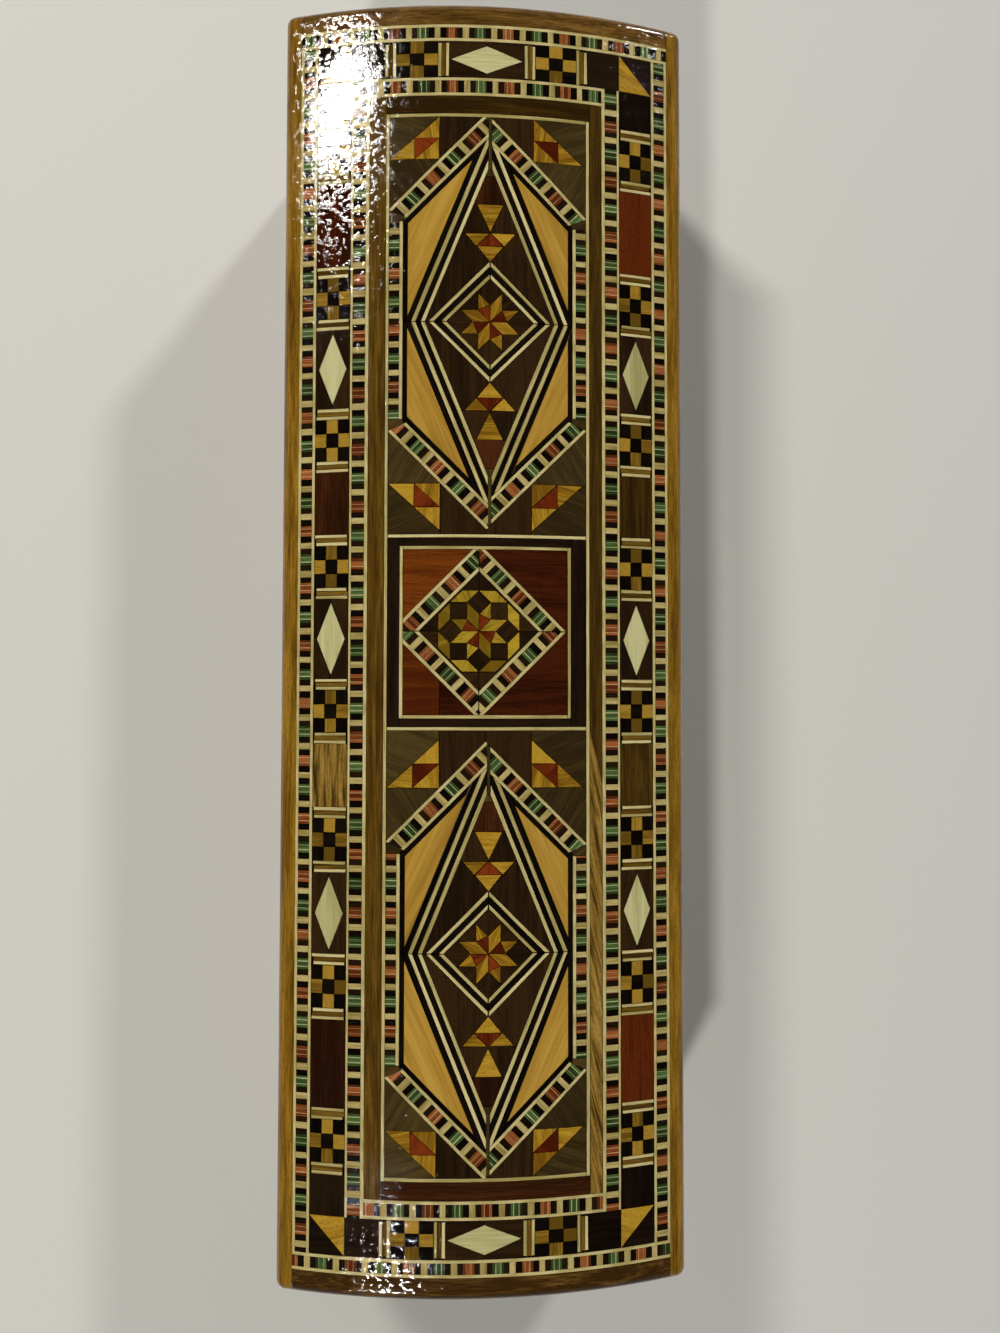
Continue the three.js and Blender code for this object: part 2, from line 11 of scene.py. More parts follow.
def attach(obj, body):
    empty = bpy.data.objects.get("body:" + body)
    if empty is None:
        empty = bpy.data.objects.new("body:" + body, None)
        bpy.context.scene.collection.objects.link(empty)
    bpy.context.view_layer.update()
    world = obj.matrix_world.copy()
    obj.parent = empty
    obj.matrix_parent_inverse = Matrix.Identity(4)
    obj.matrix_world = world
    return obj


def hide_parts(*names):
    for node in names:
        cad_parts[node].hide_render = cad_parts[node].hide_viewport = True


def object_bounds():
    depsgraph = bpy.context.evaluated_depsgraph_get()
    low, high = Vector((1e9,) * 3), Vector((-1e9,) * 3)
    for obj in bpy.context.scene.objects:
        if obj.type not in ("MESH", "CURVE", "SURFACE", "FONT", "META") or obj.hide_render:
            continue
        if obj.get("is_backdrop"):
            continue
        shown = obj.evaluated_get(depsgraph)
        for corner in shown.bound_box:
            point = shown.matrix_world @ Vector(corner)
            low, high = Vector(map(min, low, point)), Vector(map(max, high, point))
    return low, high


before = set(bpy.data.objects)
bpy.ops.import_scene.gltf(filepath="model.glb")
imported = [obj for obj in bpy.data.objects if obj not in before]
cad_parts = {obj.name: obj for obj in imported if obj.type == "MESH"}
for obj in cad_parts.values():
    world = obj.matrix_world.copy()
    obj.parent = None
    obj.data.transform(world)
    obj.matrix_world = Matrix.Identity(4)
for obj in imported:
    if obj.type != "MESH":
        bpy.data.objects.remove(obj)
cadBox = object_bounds()
scene = bpy.context.scene
mm = 0.001
root2 = math.sqrt(2)
quarters = ((1, 1), (1, -1), (-1, 1), (-1, -1))


def linear(hexColour):
    channels = [int(hexColour[i : i + 2], 16) / 255 for i in (1, 3, 5)]
    return [c / 12.92 if c <= 0.04045 else ((c + 0.055) / 1.055) ** 2.4 for c in channels] + [1]


def feed(tree, node, inputs):
    # values and links for a node's inputs, by name or in their order; text with # is a colour
    for key, value in inputs.items() if isinstance(inputs, dict) else enumerate(inputs):
        if isinstance(value, bpy.types.NodeSocket):
            tree.links.new(value, node.inputs[key])
        else:
            isColour = isinstance(value, str) and value.startswith("#")
            node.inputs[key].default_value = linear(value) if isColour else value


def addNode(tree, kind, inputs=(), out=0, stops=(), **settings):
    # kind may leave out ShaderNode and end in the operation
    # out is the output that comes back, or None for the node itself
    kind, _, operation = kind.partition(" ")
    shaderKind = "ShaderNode" + kind
    node = tree.nodes.new(shaderKind if hasattr(bpy.types, shaderKind) else kind)
    for name, value in settings.items():
        setattr(node, name, value)
    if operation:
        node.operation = operation
    feed(tree, node, inputs)
    if stops:
        elements = node.color_ramp.elements
        while len(elements) < len(stops):
            elements.new(1)
        for number, (place, colour) in enumerate(stops):
            elements[number].position, elements[number].color = place, linear(colour)
    return node if out is None else node.outputs[out]


def newMaterial(name):
    # the material, what adds nodes to it and what feeds its shader
    made = bpy.data.materials.new(name)
    made.use_nodes = True
    tree = made.node_tree
    return made, partial(addNode, tree), partial(feed, tree, tree.nodes["Principled BSDF"])


def link(name, data):
    made = bpy.data.objects.new(name, data)
    scene.collection.objects.link(made)
    return made


def stood(spot, away, up):
    # the matrix of what stands at the spot and faces away, its top towards up
    away = Vector(away).normalized()
    across = Vector(up).cross(away).normalized()
    return Matrix.Translation(spot) @ Matrix((across, away.cross(across), away)).transposed().to_4x4()


# Camera: nearly overhead, with the box's right end at the top of the picture
view = {
    "place": (-10.24, 7.38, 218.35),  # mm
    "back": (-0.03283, 0.05809, 0.99777),
    "up": (0.99946, 0.00365, 0.03267),
    "lens": 27.007,
}


def makeCamera():
    data = bpy.data.cameras.new("camera")
    data.lens = view["lens"]
    data.clip_start = 0.005
    scene.camera = link("camera", data)
    scene.camera.matrix_world = stood(Vector(view["place"]) * mm, view["back"], view["up"])


studio = {
    "lamps": {  # place and size in metres, watts. The lid mirrors the back lamp near its top left corner.
        "backLamp": ((0.485, 0.357, 0.615), (0.045, 0.17), 3.4, "#fffbf5"),
        "endLamp": ((-0.645, 0.26, 0.765), (0.03, 0.08), 4.6, "#fffbf5"),
        "frontLamp": ((1.5, -1.03, 1.1), (0.2, 0.2), 18.2, "#fffdfa"),
    },
    "ring": 0.2,  # how bright the room is round the box
    "overhead": 0.02,  # and straight above it
    "room": "#fffefc",
    "floor": "#d0d0cc",
}


def makeStudio():
    for name, (spot, size, watts, colour) in studio["lamps"].items():
        data = bpy.data.lights.new(name, "AREA")
        data.shape = "ELLIPSE"
        data.size, data.size_y = size
        data.energy = watts
        data.color = linear(colour)[:3]
        link(name, data).matrix_world = stood(spot, spot, (0, 1, 0))

    world = bpy.data.worlds.new("softRoom")
    scene.world = world
    world.use_nodes = True
    tree = world.node_tree
    way = addNode(tree, "TexCoord", out="Generated")
    height = addNode(tree, "SeparateXYZ", [way], "Z")
    level = addNode(tree, "MapRange", {
        "Value": height, "From Min": 0.4, "From Max": 0.66,
        "To Min": studio["ring"], "To Max": studio["overhead"],
    }, interpolation_type="SMOOTHSTEP")
    feed(tree, tree.nodes["Background"], {"Strength": level, "Color": studio["room"]})

    mesh = bpy.data.meshes.new("floor")
    mesh.from_pydata([(-6, -6, 0), (6, -6, 0), (6, 6, 0), (-6, 6, 0)], [], [(0, 1, 2, 3)])
    paper, add, dress = newMaterial("matt paper")  # plain and pale, takes soft shadows
    away = add("VectorMath LENGTH", [add("TexCoord", out="Object")], "Value")
    # far from the box the floor glows: painted light, emitted by the floor though it is no lamp, as bright as
    # the room, so no dark band shows at the horizon
    glow = add("MapRange", {
        "Value": away, "From Min": 0.45, "From Max": 1.5, "To Min": 0, "To Max": studio["ring"] * 0.93,
    }, interpolation_type="SMOOTHSTEP")
    dress({
        "Base Color": studio["floor"], "Roughness": 0.9, "Specular IOR Level": 0.2,
        "Emission Strength": glow, "Emission Color": studio["room"],
    })
    mesh.materials.append(paper)
    link("floor", mesh)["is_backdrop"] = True


scene.view_settings.view_transform = "Standard"
makeCamera()
makeStudio()
print("camera and studio set")

# Woods and the like: light, middle and dark of the grain, widths in mm of its figure and fibres, how far
# one piece differs from the next, and how dark the open pores are where that isn't 0.5
woods = {
    "golden": ("#9c7526", "#7a5813", "#50340a", 1.6, 0.22, 0.16),  # lemonwood edging: long darker streaks
    "brownWalnut": ("#83602c", "#5f441b", "#38230b", 1.5, 0.25, 0.12),  # gables: mid brown, orange streaks
    "goldenTile": ("#b38d2c", "#98721d", "#6c4b0e", 1.2, 0.2, 0.15),  # brighter and plainer than the edging
    "checkTile": ("#a17e2c", "#83641d", "#5d4511", 1.2, 0.2, 0.3),  # greener, each tile its own shade
    "limeWood": ("#b0942b", "#927720", "#6a520f", 1.2, 0.2, 0.2),  # the rosette's gold, greener and duller
    "honey": ("#ba9441", "#a98333", "#957028", 3.4, 0.5, 0.05, 0.2),  # maple: smooth, with faint fibres
    "walnut": ("#533b14", "#402c0b", "#2b1b06", 1.3, 0.25, 0.14),  # brown with an olive cast
    "paleWalnut": ("#775b1f", "#5c4212", "#3e2908", 1.2, 0.25, 0.1),  # its sapwood: pale golden brown
    "streaked": ("#a88846", "#8b6c2c", "#3c290a", 1.0, 0.25, 0.1),  # heart and sap: dark streaks in gold
    "darkWalnut": ("#34220f", "#281a0a", "#1a1006", 1.5, 0.25, 0.13),  # old heart, the panels' dark ground
    "blackWalnut": ("#24180c", "#180f07", "#0e0703", 1.5, 0.25, 0.12),  # the darkest tiles of the bands
    "oliveWalnut": ("#4d3e1d", "#3d3017", "#2d220e", 1.3, 0.25, 0.12),  # greenish, in the panel corners
    "rosewood": ("#4a2610", "#371b08", "#220f05", 1.8, 0.25, 0.14),  # dark red-brown, fine grained
    "padauk": ("#5c260b", "#471a05", "#2c0e02", 1.8, 0.25, 0.16),  # deep red, open pores
    "mahogany": ("#743a0f", "#5b2a08", "#461c06", 2.6, 0.3, 0.12),  # red-brown, lighter and darker bands
    "darkMahogany": ("#411a07", "#2b0e04", "#180601", 2.6, 0.3, 0.12),  # its darker board
    "redTile": ("#7c3412", "#62240a", "#451605", 1.2, 0.2, 0.2),  # red-stained kites of the stars
    "ebony": ("#160f08", "#0d0804", "#070402", 1.5, 0.25, 0.12),  # neutral black, hardly any figure
    "holly": ("#d2c48f", "#baac74", "#988a50", 0.9, 0.2, 0.12, 0.3),  # strips, yellowed by the lacquer
    "bone": ("#c4c08d", "#b3ad78", "#9a9460", 2.5, 0.35, 0.1, 0.1),  # camel bone: cool cream, even
    # end grain slices of the rods
    "rodCream": ("#c4b37a", "#ac9b61", "#86753f", 0.8, 0.16, 0.08),
    "rodBlack": ("#241709", "#160e06", "#0b0603", 0.8, 0.16, 0.2),
    "rodPink": ("#c59c74", "#ab8058", "#875c38", 0.8, 0.16, 0.2),
    "rodRed": ("#9e5a2c", "#7d411c", "#55260c", 0.8, 0.16, 0.2),
    "rodMint": ("#b5ba8a", "#9aa077", "#76805a", 0.8, 0.16, 0.2),
    "rodGreen": ("#4c6632", "#384d22", "#233413", 0.8, 0.16, 0.2),
    "carcass": ("#9c8660", "#87704c", "#665235", 3.0, 0.4, 0.1),  # plain sanded wood, matt
}
# widths and heights in mm
lacquer = {
    "roughness": 0.024, "wave": 5.0, "waveDepth": 0.05, "peel": 0.22, "peelDepth": 0.0245, "patch": 1.1,
    "open": (0.44, 0.66),  # where in the patches' noise the grain starts to open and is fully open
    "closed": 0.12,  # how much of the peel shows where it is closed
}
# how long the grain's marks run for their width, and where in their noise the colours and the pores lie
grainPlan = {
    "figure": 0.07, "fibre": 0.05, "pore": 1.3 / 9, "poreWidth": 1 / 9,
    "colours": (0.36, 0.5, 0.64), "pores": (0.56, 0.66),
}


def lacquered(add, dress, rough):
    # Brushed-on gloss lacquer: sharp reflections over slow waves, broken to sparkles in patches
    # of open grain.
    place = add("TexCoord", out="Object")
    patch, peel, wave = (
        add("TexNoise", {
            "Vector": place, "Scale": 1 / (lacquer[kind] * mm), "Detail": detail, "Roughness": 0.6,
        })
        for kind, detail in (("patch", 1), ("peel", 2), ("wave", 1))
    )
    (low, high), closed = lacquer["open"], lacquer["closed"]
    opened = add("MapRange", {"Value": patch, "From Min": low, "From Max": high, "To Min": closed})
    sparkle = add("Math MULTIPLY", (peel, opened))
    bump = None
    for height, depth in ((wave, lacquer["waveDepth"]), (sparkle, rough * lacquer["peelDepth"])):
        under = {"Normal": bump} if bump else {}
        bump = add("Bump", {"Height": height, "Strength": 1, "Distance": depth * mm, **under})
    dress({"Coat Normal": bump, "Coat Weight": 1, "Coat Roughness": lacquer["roughness"], "Coat IOR": 1.5})


def woodMaterial(name):
    glossy = name != "carcass"
    light, mid, dark, figure, fibre, spread, pores = (*woods[name], 0.5)[:7]
    wood, add, dress = newMaterial(name + (" lacquered" if glossy else " oiled"))
    grain = add("Attribute", out="Vector", attribute_name="grain")
    tone = add("Attribute", out="Fac", attribute_name="tone")

    def along(stretch, width, **more):
        at = add("VectorMath MULTIPLY", (grain, (stretch / width, 1 / width, 1 / width)))
        return add("TexNoise", {"Vector": at, "Scale": 1, **more})

    bands = along(grainPlan["figure"], figure, Detail=3, Roughness=0.6, Distortion=0.5)
    fibres = along(grainPlan["fibre"], fibre, Detail=2)
    both = add("Math MULTIPLY_ADD", (fibres, 0.4, add("Math MULTIPLY", (bands, 0.6))))
    shade = add("Math MULTIPLY_ADD", (tone, spread, both))
    colour = add("ValToRGB", [shade], stops=list(zip(grainPlan["colours"], (dark, mid, light))))
    # open pores: short dark dashes along the grain
    dashes = along(grainPlan["pore"], grainPlan["poreWidth"], Detail=1)
    low, high = grainPlan["pores"]
    pore = add("MapRange", {"Value": dashes, "From Min": low, "From Max": high, "To Max": pores})
    dress({
        "Base Color": add("MixRGB", {"Fac": pore, "Color1": colour, "Color2": dark}),
        "Roughness": 0.6,
        "Specular IOR Level": 0.0 if glossy else 0.35,
        "Normal": add("Bump", {"Height": fibres, "Strength": 0.4, "Distance": 0.02 * mm}),
    })
    if glossy:
        lacquered(add, dress, 1.5 if name.startswith("rod") or name == "holly" else 1.0)
    return wood


finish = {name: woodMaterial(name) for name in woods}
print("woods ready")

# The lid in mm, as the CAD has it: the arch, and the borders from the middle outwards
lid = {
    "radius": 118.21,
    "crown": 50.0,
    "marquetry": (105.8, 32.15),
    "outerRods": (102.9, 29.25),
    "band": (96.5, 23.25),
    "innerRods": (93.35, 20.1),
    "frame": (90.25, 17.25),
    "field": (89.65, 16.65),
    "frontMore": 0.6,  # how much further the field reaches at the front, as on the old box
    "centre": (-15.5, 17.7),  # the centre panel, with its two cross lines
    "crossLine": 0.6,
    "layer": 1.15,  # thickness of the marquetry
    "joint": 0.02,  # half a glue line
    "wobble": 0.035,  # how far a hand-cut corner is off
    "station": 2.0,  # how often the arch is divided across
    "lineStep": 1.8,  # and how often a line is along itself
}
fieldHalves = {1: lid["field"][1], -1: lid["field"][1] + lid["frontMore"]}  # at the back and at the front
# slices of the rod mosaic; a coloured rod is edge, stripe, core, stripe, edge
rods = {"Cream": 1.05, "Black": 1.0, "Core": 0.65, "Stripe": 0.2, "Edge": 0.4, "Jitter": 0.07}
rodColour = rods["Core"] + 2 * (rods["Stripe"] + rods["Edge"])
rodPeriod = 2 * (rods["Cream"] + 2 * rods["Black"] + rodColour)
rodWoods = ["rodCream", "rodBlack", "rodPink", "rodRed", "rodMint", "rodGreen", "holly"]


def archHeight(y):
    return lid["crown"] - lid["radius"] + math.sqrt(lid["radius"] ** 2 - y * y)


# Plan shapes. A tessera is (points, wood, grain angle in degrees).
def cut(points, *sides):
    # keeps what lies on the inner side of each line: nx * x + ny * y <= limit
    for nx, ny, limit in sides:
        kept = []
        for (x0, y0), (x1, y1) in zip([*points[-1:], *points], points):
            d0, d1 = nx * x0 + ny * y0 - limit, nx * x1 + ny * y1 - limit
            if (d0 <= 0) != (d1 <= 0):
                t = d0 / (d0 - d1)
                kept.append((x0 + t * (x1 - x0), y0 + t * (y1 - y0)))
            if d1 <= 0:
                kept.append((x1, y1))
        points = kept
    return points if len(points) > 2 else []


def beyondLine(a, b):
    # the side for cut() that keeps what lies to the left of the way from a to b
    nx, ny = b[1] - a[1], a[0] - b[0]
    return nx, ny, nx * a[0] + ny * a[1]


def slant(rx, ry):
    # the side for cut() that keeps what lies within the line from (rx, 0) to (0, ry)
    steep = math.hypot(1 / rx, 1 / ry)
    return 1 / rx / steep, 1 / ry / steep, 1 / steep


def rectangle(x0, x1, y0, y1):
    return [(x0, y0), (x1, y0), (x1, y1), (x0, y1)]


def diamond(size):
    return [(size, 0), (0, size), (-size, 0), (0, -size)]


def between(a, b):
    return (a[0] + b[0]) / 2, (a[1] + b[1]) / 2


def polar(radius, degrees):
    return radius * math.cos(math.radians(degrees)), radius * math.sin(math.radians(degrees))


def acrossAxis(points):
    # a convex shape on the axis y = 0 and its mirror image as one
    both = list(points) + [(x, -y) for x, y in points if y > 1e-6]
    cx, cy = sum(p[0] for p in both) / len(both), sum(p[1] for p in both) / len(both)
    return sorted(both, key=lambda p: math.atan2(p[1] - cy, p[0] - cx))


def rings(plane, nx, ny, edge, plan, grain, *sides, scale=1):
    # bands of the plan's woods and widths, from the line nx * x + ny * y = edge inwards
    drawn = []
    for wood, width in plan:
        inner = edge - width * scale
        drawn.append((cut(plane, (nx, ny, edge), (-nx, -ny, -inner), *sides), wood, grain))
        edge = inner
    return drawn, edge


def moved(tesserae, x=0.0, y=0.0, flipX=1, flipY=1):
    return [
        ([(x + flipX * px, y + flipY * py) for px, py in points], wood, grain * flipX * flipY)
        for points, wood, grain in tesserae
    ]


def drawnIn(points, gap):
    # the outline without doubled corners, anticlockwise, its sides moved in by the gap
    points = [Vector(p) for i, p in enumerate(points) if math.dist(p, points[i - 1]) > 1e-3]
    area = sum(a.x * b.y - b.x * a.y for a, b in zip(points, points[1:] + points[:1]))
    if len(points) < 3 or abs(area) < 0.03:
        return []
    if area < 0:
        points.reverse()
    shape = []
    for i, here in enumerate(points):
        way0 = (here - points[i - 1]).normalized()
        way1 = (points[(i + 1) % len(points)] - here).normalized()
        inward = Vector((-way0.y - way1.y, way0.x + way1.x))
        shape.append(here + inward * (gap / max(1 + way0.dot(way1), 0.05)))
    return shape


def setGrain(mesh, grain, tone):
    mesh.attributes.new("grain", "FLOAT_VECTOR", "POINT").data.foreach_set("vector", np.ravel(grain))
    mesh.attributes.new("tone", "FLOAT", "POINT").data.foreach_set("value", tone)


def tesseraObject(name, tesserae, arched=True):
    # Every tessera becomes a small closed block, its top following the arch.
    dice = random.Random(name)
    sheet = bmesh.new()
    owner = sheet.faces.layers.int.new("owner")
    facts, wobble = [], lid["wobble"]
    for points, wood, grain in tesserae:
        outline = drawnIn(points, lid["joint"] + wobble)
        if outline:
            sheet.faces.new([
                sheet.verts.new((p.x + dice.uniform(-wobble, wobble), p.y + dice.uniform(-wobble, wobble), 0))
                for p in outline
            ])[owner] = len(facts)
            facts.append((wood, math.radians(grain), dice.uniform(0, 400), dice.uniform(-1, 1)))
    count = int(35 / lid["station"]) if arched else -1
    for i in range(-count, count + 1):
        bmesh.ops.bisect_plane(
            sheet, geom=sheet.verts[:] + sheet.edges[:] + sheet.faces[:],
            plane_co=(0, i * lid["station"], 0), plane_no=(0, 1, 0),
        )
    sheet.verts.index_update()
    places, grains, tones = [], [], []
    for vert in sheet.verts:
        x, y, _ = vert.co
        _, turn, offset, tone = facts[vert.link_faces[0][owner]]
        cos, sin = math.cos(turn), math.sin(turn)
        places.append((x * mm, y * mm, archHeight(y) * mm if arched else 0.0))
        grains.append((x * cos + y * sin, y * cos - x * sin, offset))
        tones.append(tone)
    count = len(places)
    places += [(x, y, z - lid["layer"] * mm) for x, y, z in places]
    used = sorted({wood for wood, *_ in facts})
    faces, slots = [], []
    for face in sheet.faces:
        ring = [v.index for v in face.verts]
        around = [ring, [i + count for i in reversed(ring)]]
        for loop in face.loops:
            if len(loop.edge.link_faces) == 1:
                a, b = loop.vert.index, loop.link_loop_next.vert.index
                around.append((a, a + count, b + count, b))
        faces += around
        slots += [used.index(facts[face[owner]][0])] * len(around)
    sheet.free()
    mesh = bpy.data.meshes.new(name)
    mesh.from_pydata(places, [], faces)
    for wood in used:
        mesh.materials.append(finish[wood])
    mesh.polygons.foreach_set("material_index", slots)
    setGrain(mesh, grains + grains, tones + tones)
    return link(name, mesh)


def newTree(name, **inputs):
    # a node tree with inputs by their type, what adds nodes to it, and the inputs' values
    tree = bpy.data.node_groups.new(name, "GeometryNodeTree")
    tree.interface.new_socket("Geometry", in_out="OUTPUT", socket_type="NodeSocketGeometry")
    for kind, names in inputs.items():
        for socket in names:
            tree.interface.new_socket(socket, in_out="INPUT", socket_type="NodeSocket" + kind)
    return tree, partial(addNode, tree), addNode(tree, "NodeGroupInput", out=None).outputs


def runTree(tree, name, values):
    # The tree's result as a plain mesh on an object of its own
    maker = link(name, bpy.data.meshes.new(name))
    modifier = maker.modifiers.new("tree", "NODES")
    modifier.node_group = tree
    sockets = {s.name: s.identifier for s in tree.interface.items_tree if s.in_out == "INPUT"}
    for key, value in values.items():
        modifier[sockets[key]] = value
    shape = bpy.data.meshes.new_from_object(maker.evaluated_get(bpy.context.evaluated_depsgraph_get()))
    bpy.data.objects.remove(maker)
    return link(name, shape)


# Rod mosaic: slices laid side by side between two lines, repeated along a strip and bent over the arch.
def rodTree():
    tree, add, given = newTree(
        "rodMosaic", Vector=["Centre"], Int=["Slices", "Seed"],
        Float=["Length", "Start", "Mosaic Width", "Mosaic Shift", "Left Line", "Right Line", "Depth", "Joint",
               "Arch Radius", "Crown Height", "Angle", *rods],
    )
    fromDice = {2: -1.0, 3: 1.0, 8: given["Seed"]}
    index = add("GeometryNodeInputIndex")
    kind = add("FunctionNodeIntegerMath MODULO", (index, 16))
    lengths = [given[n] for n in ("Cream", "Black", "Edge", "Stripe", "Core", "Stripe", "Edge", "Black")] * 2
    slices = []
    for dataType, values in (("FLOAT", lengths), ("INT", [0, 1, 3, 2, 3, 2, 3, 1, 0, 1, 5, 4, 5, 4, 5, 1])):
        switch = add("GeometryNodeIndexSwitch", out=None, data_type=dataType)
        for _ in values[2:]:
            switch.index_switch_items.new()
        feed(tree, switch, [kind, *values])
        slices.append(switch.outputs[0])
    length, wood = slices

    # each joint between two slices is a little off its place, and both slices share it
    run = add("GeometryNodeAccumulateField", [length], None, data_type="FLOAT").outputs
    following = add("FunctionNodeIntegerMath ADD", (index, 1))
    ends = []
    for point, total in ((index, run["Trailing"]), (following, run["Leading"])):
        off = add("FunctionNodeRandomValue", {**fromDice, 7: point}, 1, data_type="FLOAT")
        exact = add("Math ADD", (total, given["Start"]))
        ends.append(add("Math MULTIPLY_ADD", (off, given["Jitter"], exact)))
    span = add("Math SUBTRACT", (ends[1], ends[0]))
    middle = add("Math MULTIPLY_ADD", (span, 0.5, ends[0]))
    sunk = add("Math MULTIPLY", (given["Depth"], -0.5))
    points = add("GeometryNodeSetPosition", {
        "Geometry": add("GeometryNodeMeshLine", {"Count": given["Slices"], "Offset": (0, 0, 0)}),
        "Position": add("CombineXYZ", (middle, given["Mosaic Shift"], sunk)),
    })
    sizeX, sizeY = (
        add("Math SUBTRACT", (v, given["Joint"])) for v in (span, given["Mosaic Width"])
    )
    mosaic = add("GeometryNodeInstanceOnPoints", {
        "Points": points, "Instance": add("GeometryNodeMeshCube", {"Size": (1, 1, 1)}),
        "Scale": add("CombineXYZ", (sizeX, sizeY, given["Depth"])),
    })
    tone = add("FunctionNodeRandomValue", fromDice, 1, data_type="FLOAT")
    for name, value, dataType in (("tone", tone, "FLOAT"), ("wood", wood, "INT")):
        mosaic = add("GeometryNodeStoreNamedAttribute", {
            "Geometry": mosaic, "Name": name, "Value": value,
        }, domain="INSTANCE", data_type=dataType)
    joined = add("GeometryNodeJoinGeometry", [mosaic], None)

    # the lines beside the slices, divided so that they can follow the arch
    steps = add("Math DIVIDE", (given["Length"], lid["lineStep"] * mm))
    for number, lineWidth in enumerate((given["Left Line"], given["Right Line"])):
        width = add("Math SUBTRACT", (lineWidth, given["Joint"]))
        bar = add("CombineXYZ", (given["Length"], width, given["Depth"]))
        beside = add("Math ADD", (given["Mosaic Width"], lineWidth))
        out = add("Math MULTIPLY_ADD", (beside, 0.5 - number, given["Mosaic Shift"]))
        strip = add("GeometryNodeTransform", {
            "Geometry": add("GeometryNodeMeshCube", {"Size": bar, "Vertices X": steps}),
            "Translation": add("CombineXYZ", {1: out, 2: sunk}),
        })
        tone = add("FunctionNodeRandomValue", {**fromDice, 7: number}, 1, data_type="FLOAT")
        for name, value, dataType in (("wood", rodWoods.index("holly"), "INT"), ("tone", tone, "FLOAT")):
            strip = add("GeometryNodeStoreNamedAttribute", {
                "Geometry": strip, "Name": name, "Value": value,
            }, domain="POINT", data_type=dataType)
        strip = add("GeometryNodeSwitch", {"Switch": lineWidth, "True": strip}, input_type="GEOMETRY")
        feed(tree, joined, [strip])
    solid = add("GeometryNodeRealizeInstances", joined.outputs)

    # grain runs across the strip in the slices and along it in the lines
    here = add("SeparateXYZ", [add("GeometryNodeInputPosition")], None).outputs
    toneAt = add("GeometryNodeInputNamedAttribute", {"Name": "tone"})
    woodAt = add("GeometryNodeInputNamedAttribute", {"Name": "wood"}, data_type="INT")
    toMm, apart = 1 / mm, 90.0
    along, across, drift = (
        add("Math MULTIPLY", pair) for pair in ((here[0], toMm), (here[1], toMm), (toneAt, apart))
    )
    isLine = add("FunctionNodeCompare EQUAL", {2: woodAt, 3: rodWoods.index("holly")}, data_type="INT")
    grain = add("GeometryNodeSwitch", {
        "Switch": isLine, "False": add("CombineXYZ", (across, along, drift)),
        "True": add("CombineXYZ", (along, across, drift)),
    }, input_type="VECTOR")
    solid = add("GeometryNodeStoreNamedAttribute", {
        "Geometry": solid, "Name": "grain", "Value": grain,
    }, domain="POINT", data_type="FLOAT_VECTOR")

    # into its place on the lid, then down onto the arch
    solid = add("GeometryNodeTransform", {
        "Geometry": solid, "Translation": given["Centre"],
        "Rotation": add("CombineXYZ", {2: given["Angle"]}),
    })
    radius = given["Arch Radius"]
    ySquared, rSquared = (add("Math MULTIPLY", (v, v)) for v in (here[1], radius))
    chord = add("Math SQRT", [add("Math SUBTRACT", (rSquared, ySquared))])
    drop = add("Math DIVIDE", (ySquared, add("Math ADD", (chord, radius))))
    rise = add("Math SUBTRACT", (given["Crown Height"], drop))
    solid = add("GeometryNodeSetPosition", {
        "Geometry": solid, "Offset": add("CombineXYZ", {2: rise}),
    })
    solid = add("GeometryNodeRealizeInstances", [solid])
    for number, name in enumerate(rodWoods):
        solid = add("GeometryNodeSetMaterial", {
            "Geometry": solid, "Material": finish[name],
            "Selection": add("FunctionNodeCompare EQUAL", {2: woodAt, 3: number}, data_type="INT"),
        })
    add("NodeGroupOutput", [solid], None)
    return tree


rodMosaic = rodTree()


def sawn(piece, cuts):
    # cuts are (point, outward direction) in plan mm; what lies outward is cut off
    shape = bmesh.new()
    shape.from_mesh(piece.data)
    for (px, py), (nx, ny) in cuts:
        away = Vector((nx, ny, 0)).normalized()
        made = bmesh.ops.bisect_plane(
            shape, geom=shape.verts[:] + shape.edges[:] + shape.faces[:], plane_co=(px * mm, py * mm, 0),
            plane_no=away, clear_outer=True, dist=1e-7,
        )
        edges = [e for e in made["geom_cut"] if isinstance(e, bmesh.types.BMEdge) and len(e.link_faces) == 1]
        for face in bmesh.ops.edgeloop_fill(shape, edges=edges)["faces"]:
            face.material_index = next(f for f in face.edges[0].link_faces if f != face).material_index
            face.normal_update()
            if face.normal.dot(away) < 0:
                face.normal_flip()
    shape.to_mesh(piece.data)
    shape.free()


def rodStrip(centre, degrees, length, width, red, lines=(0.52, 0.52), saws=(), arched=True, seed=0):
    # red is where one red slice is centred, along the strip from its middle; lines are the widths of the
    # cream lines to the left and right of the slices
    overlap = 3.0
    start = red - rods["Cream"] - rods["Black"] - rodColour / 2
    start -= math.ceil((start + length / 2 + overlap) / rodPeriod) * rodPeriod
    sizes = {
        **rods, "Length": length + 2 * overlap, "Start": start, "Depth": lid["layer"],
        "Joint": 2 * lid["joint"], "Mosaic Width": width - lines[0] - lines[1],
        "Mosaic Shift": (lines[1] - lines[0]) / 2, "Left Line": lines[0], "Right Line": lines[1],
        "Arch Radius": lid["radius"] if arched else 100000.0, "Crown Height": lid["crown"] if arched else 0.0,
    }
    strip = runTree(rodMosaic, "strip", {
        **{name: size * mm for name, size in sizes.items()},
        "Angle": math.radians(degrees), "Centre": (centre[0] * mm, centre[1] * mm, 0.0),
        "Slices": 16 * math.ceil((length / 2 + overlap - start) / rodPeriod), "Seed": seed,
    })
    wayX, wayY = polar(1, degrees)
    ends = [
        ((centre[0] + s * wayX * length / 2, centre[1] + s * wayY * length / 2), (s * wayX, s * wayY))
        for s in (1, -1)
    ]
    sawn(strip, saws or ends)
    return strip


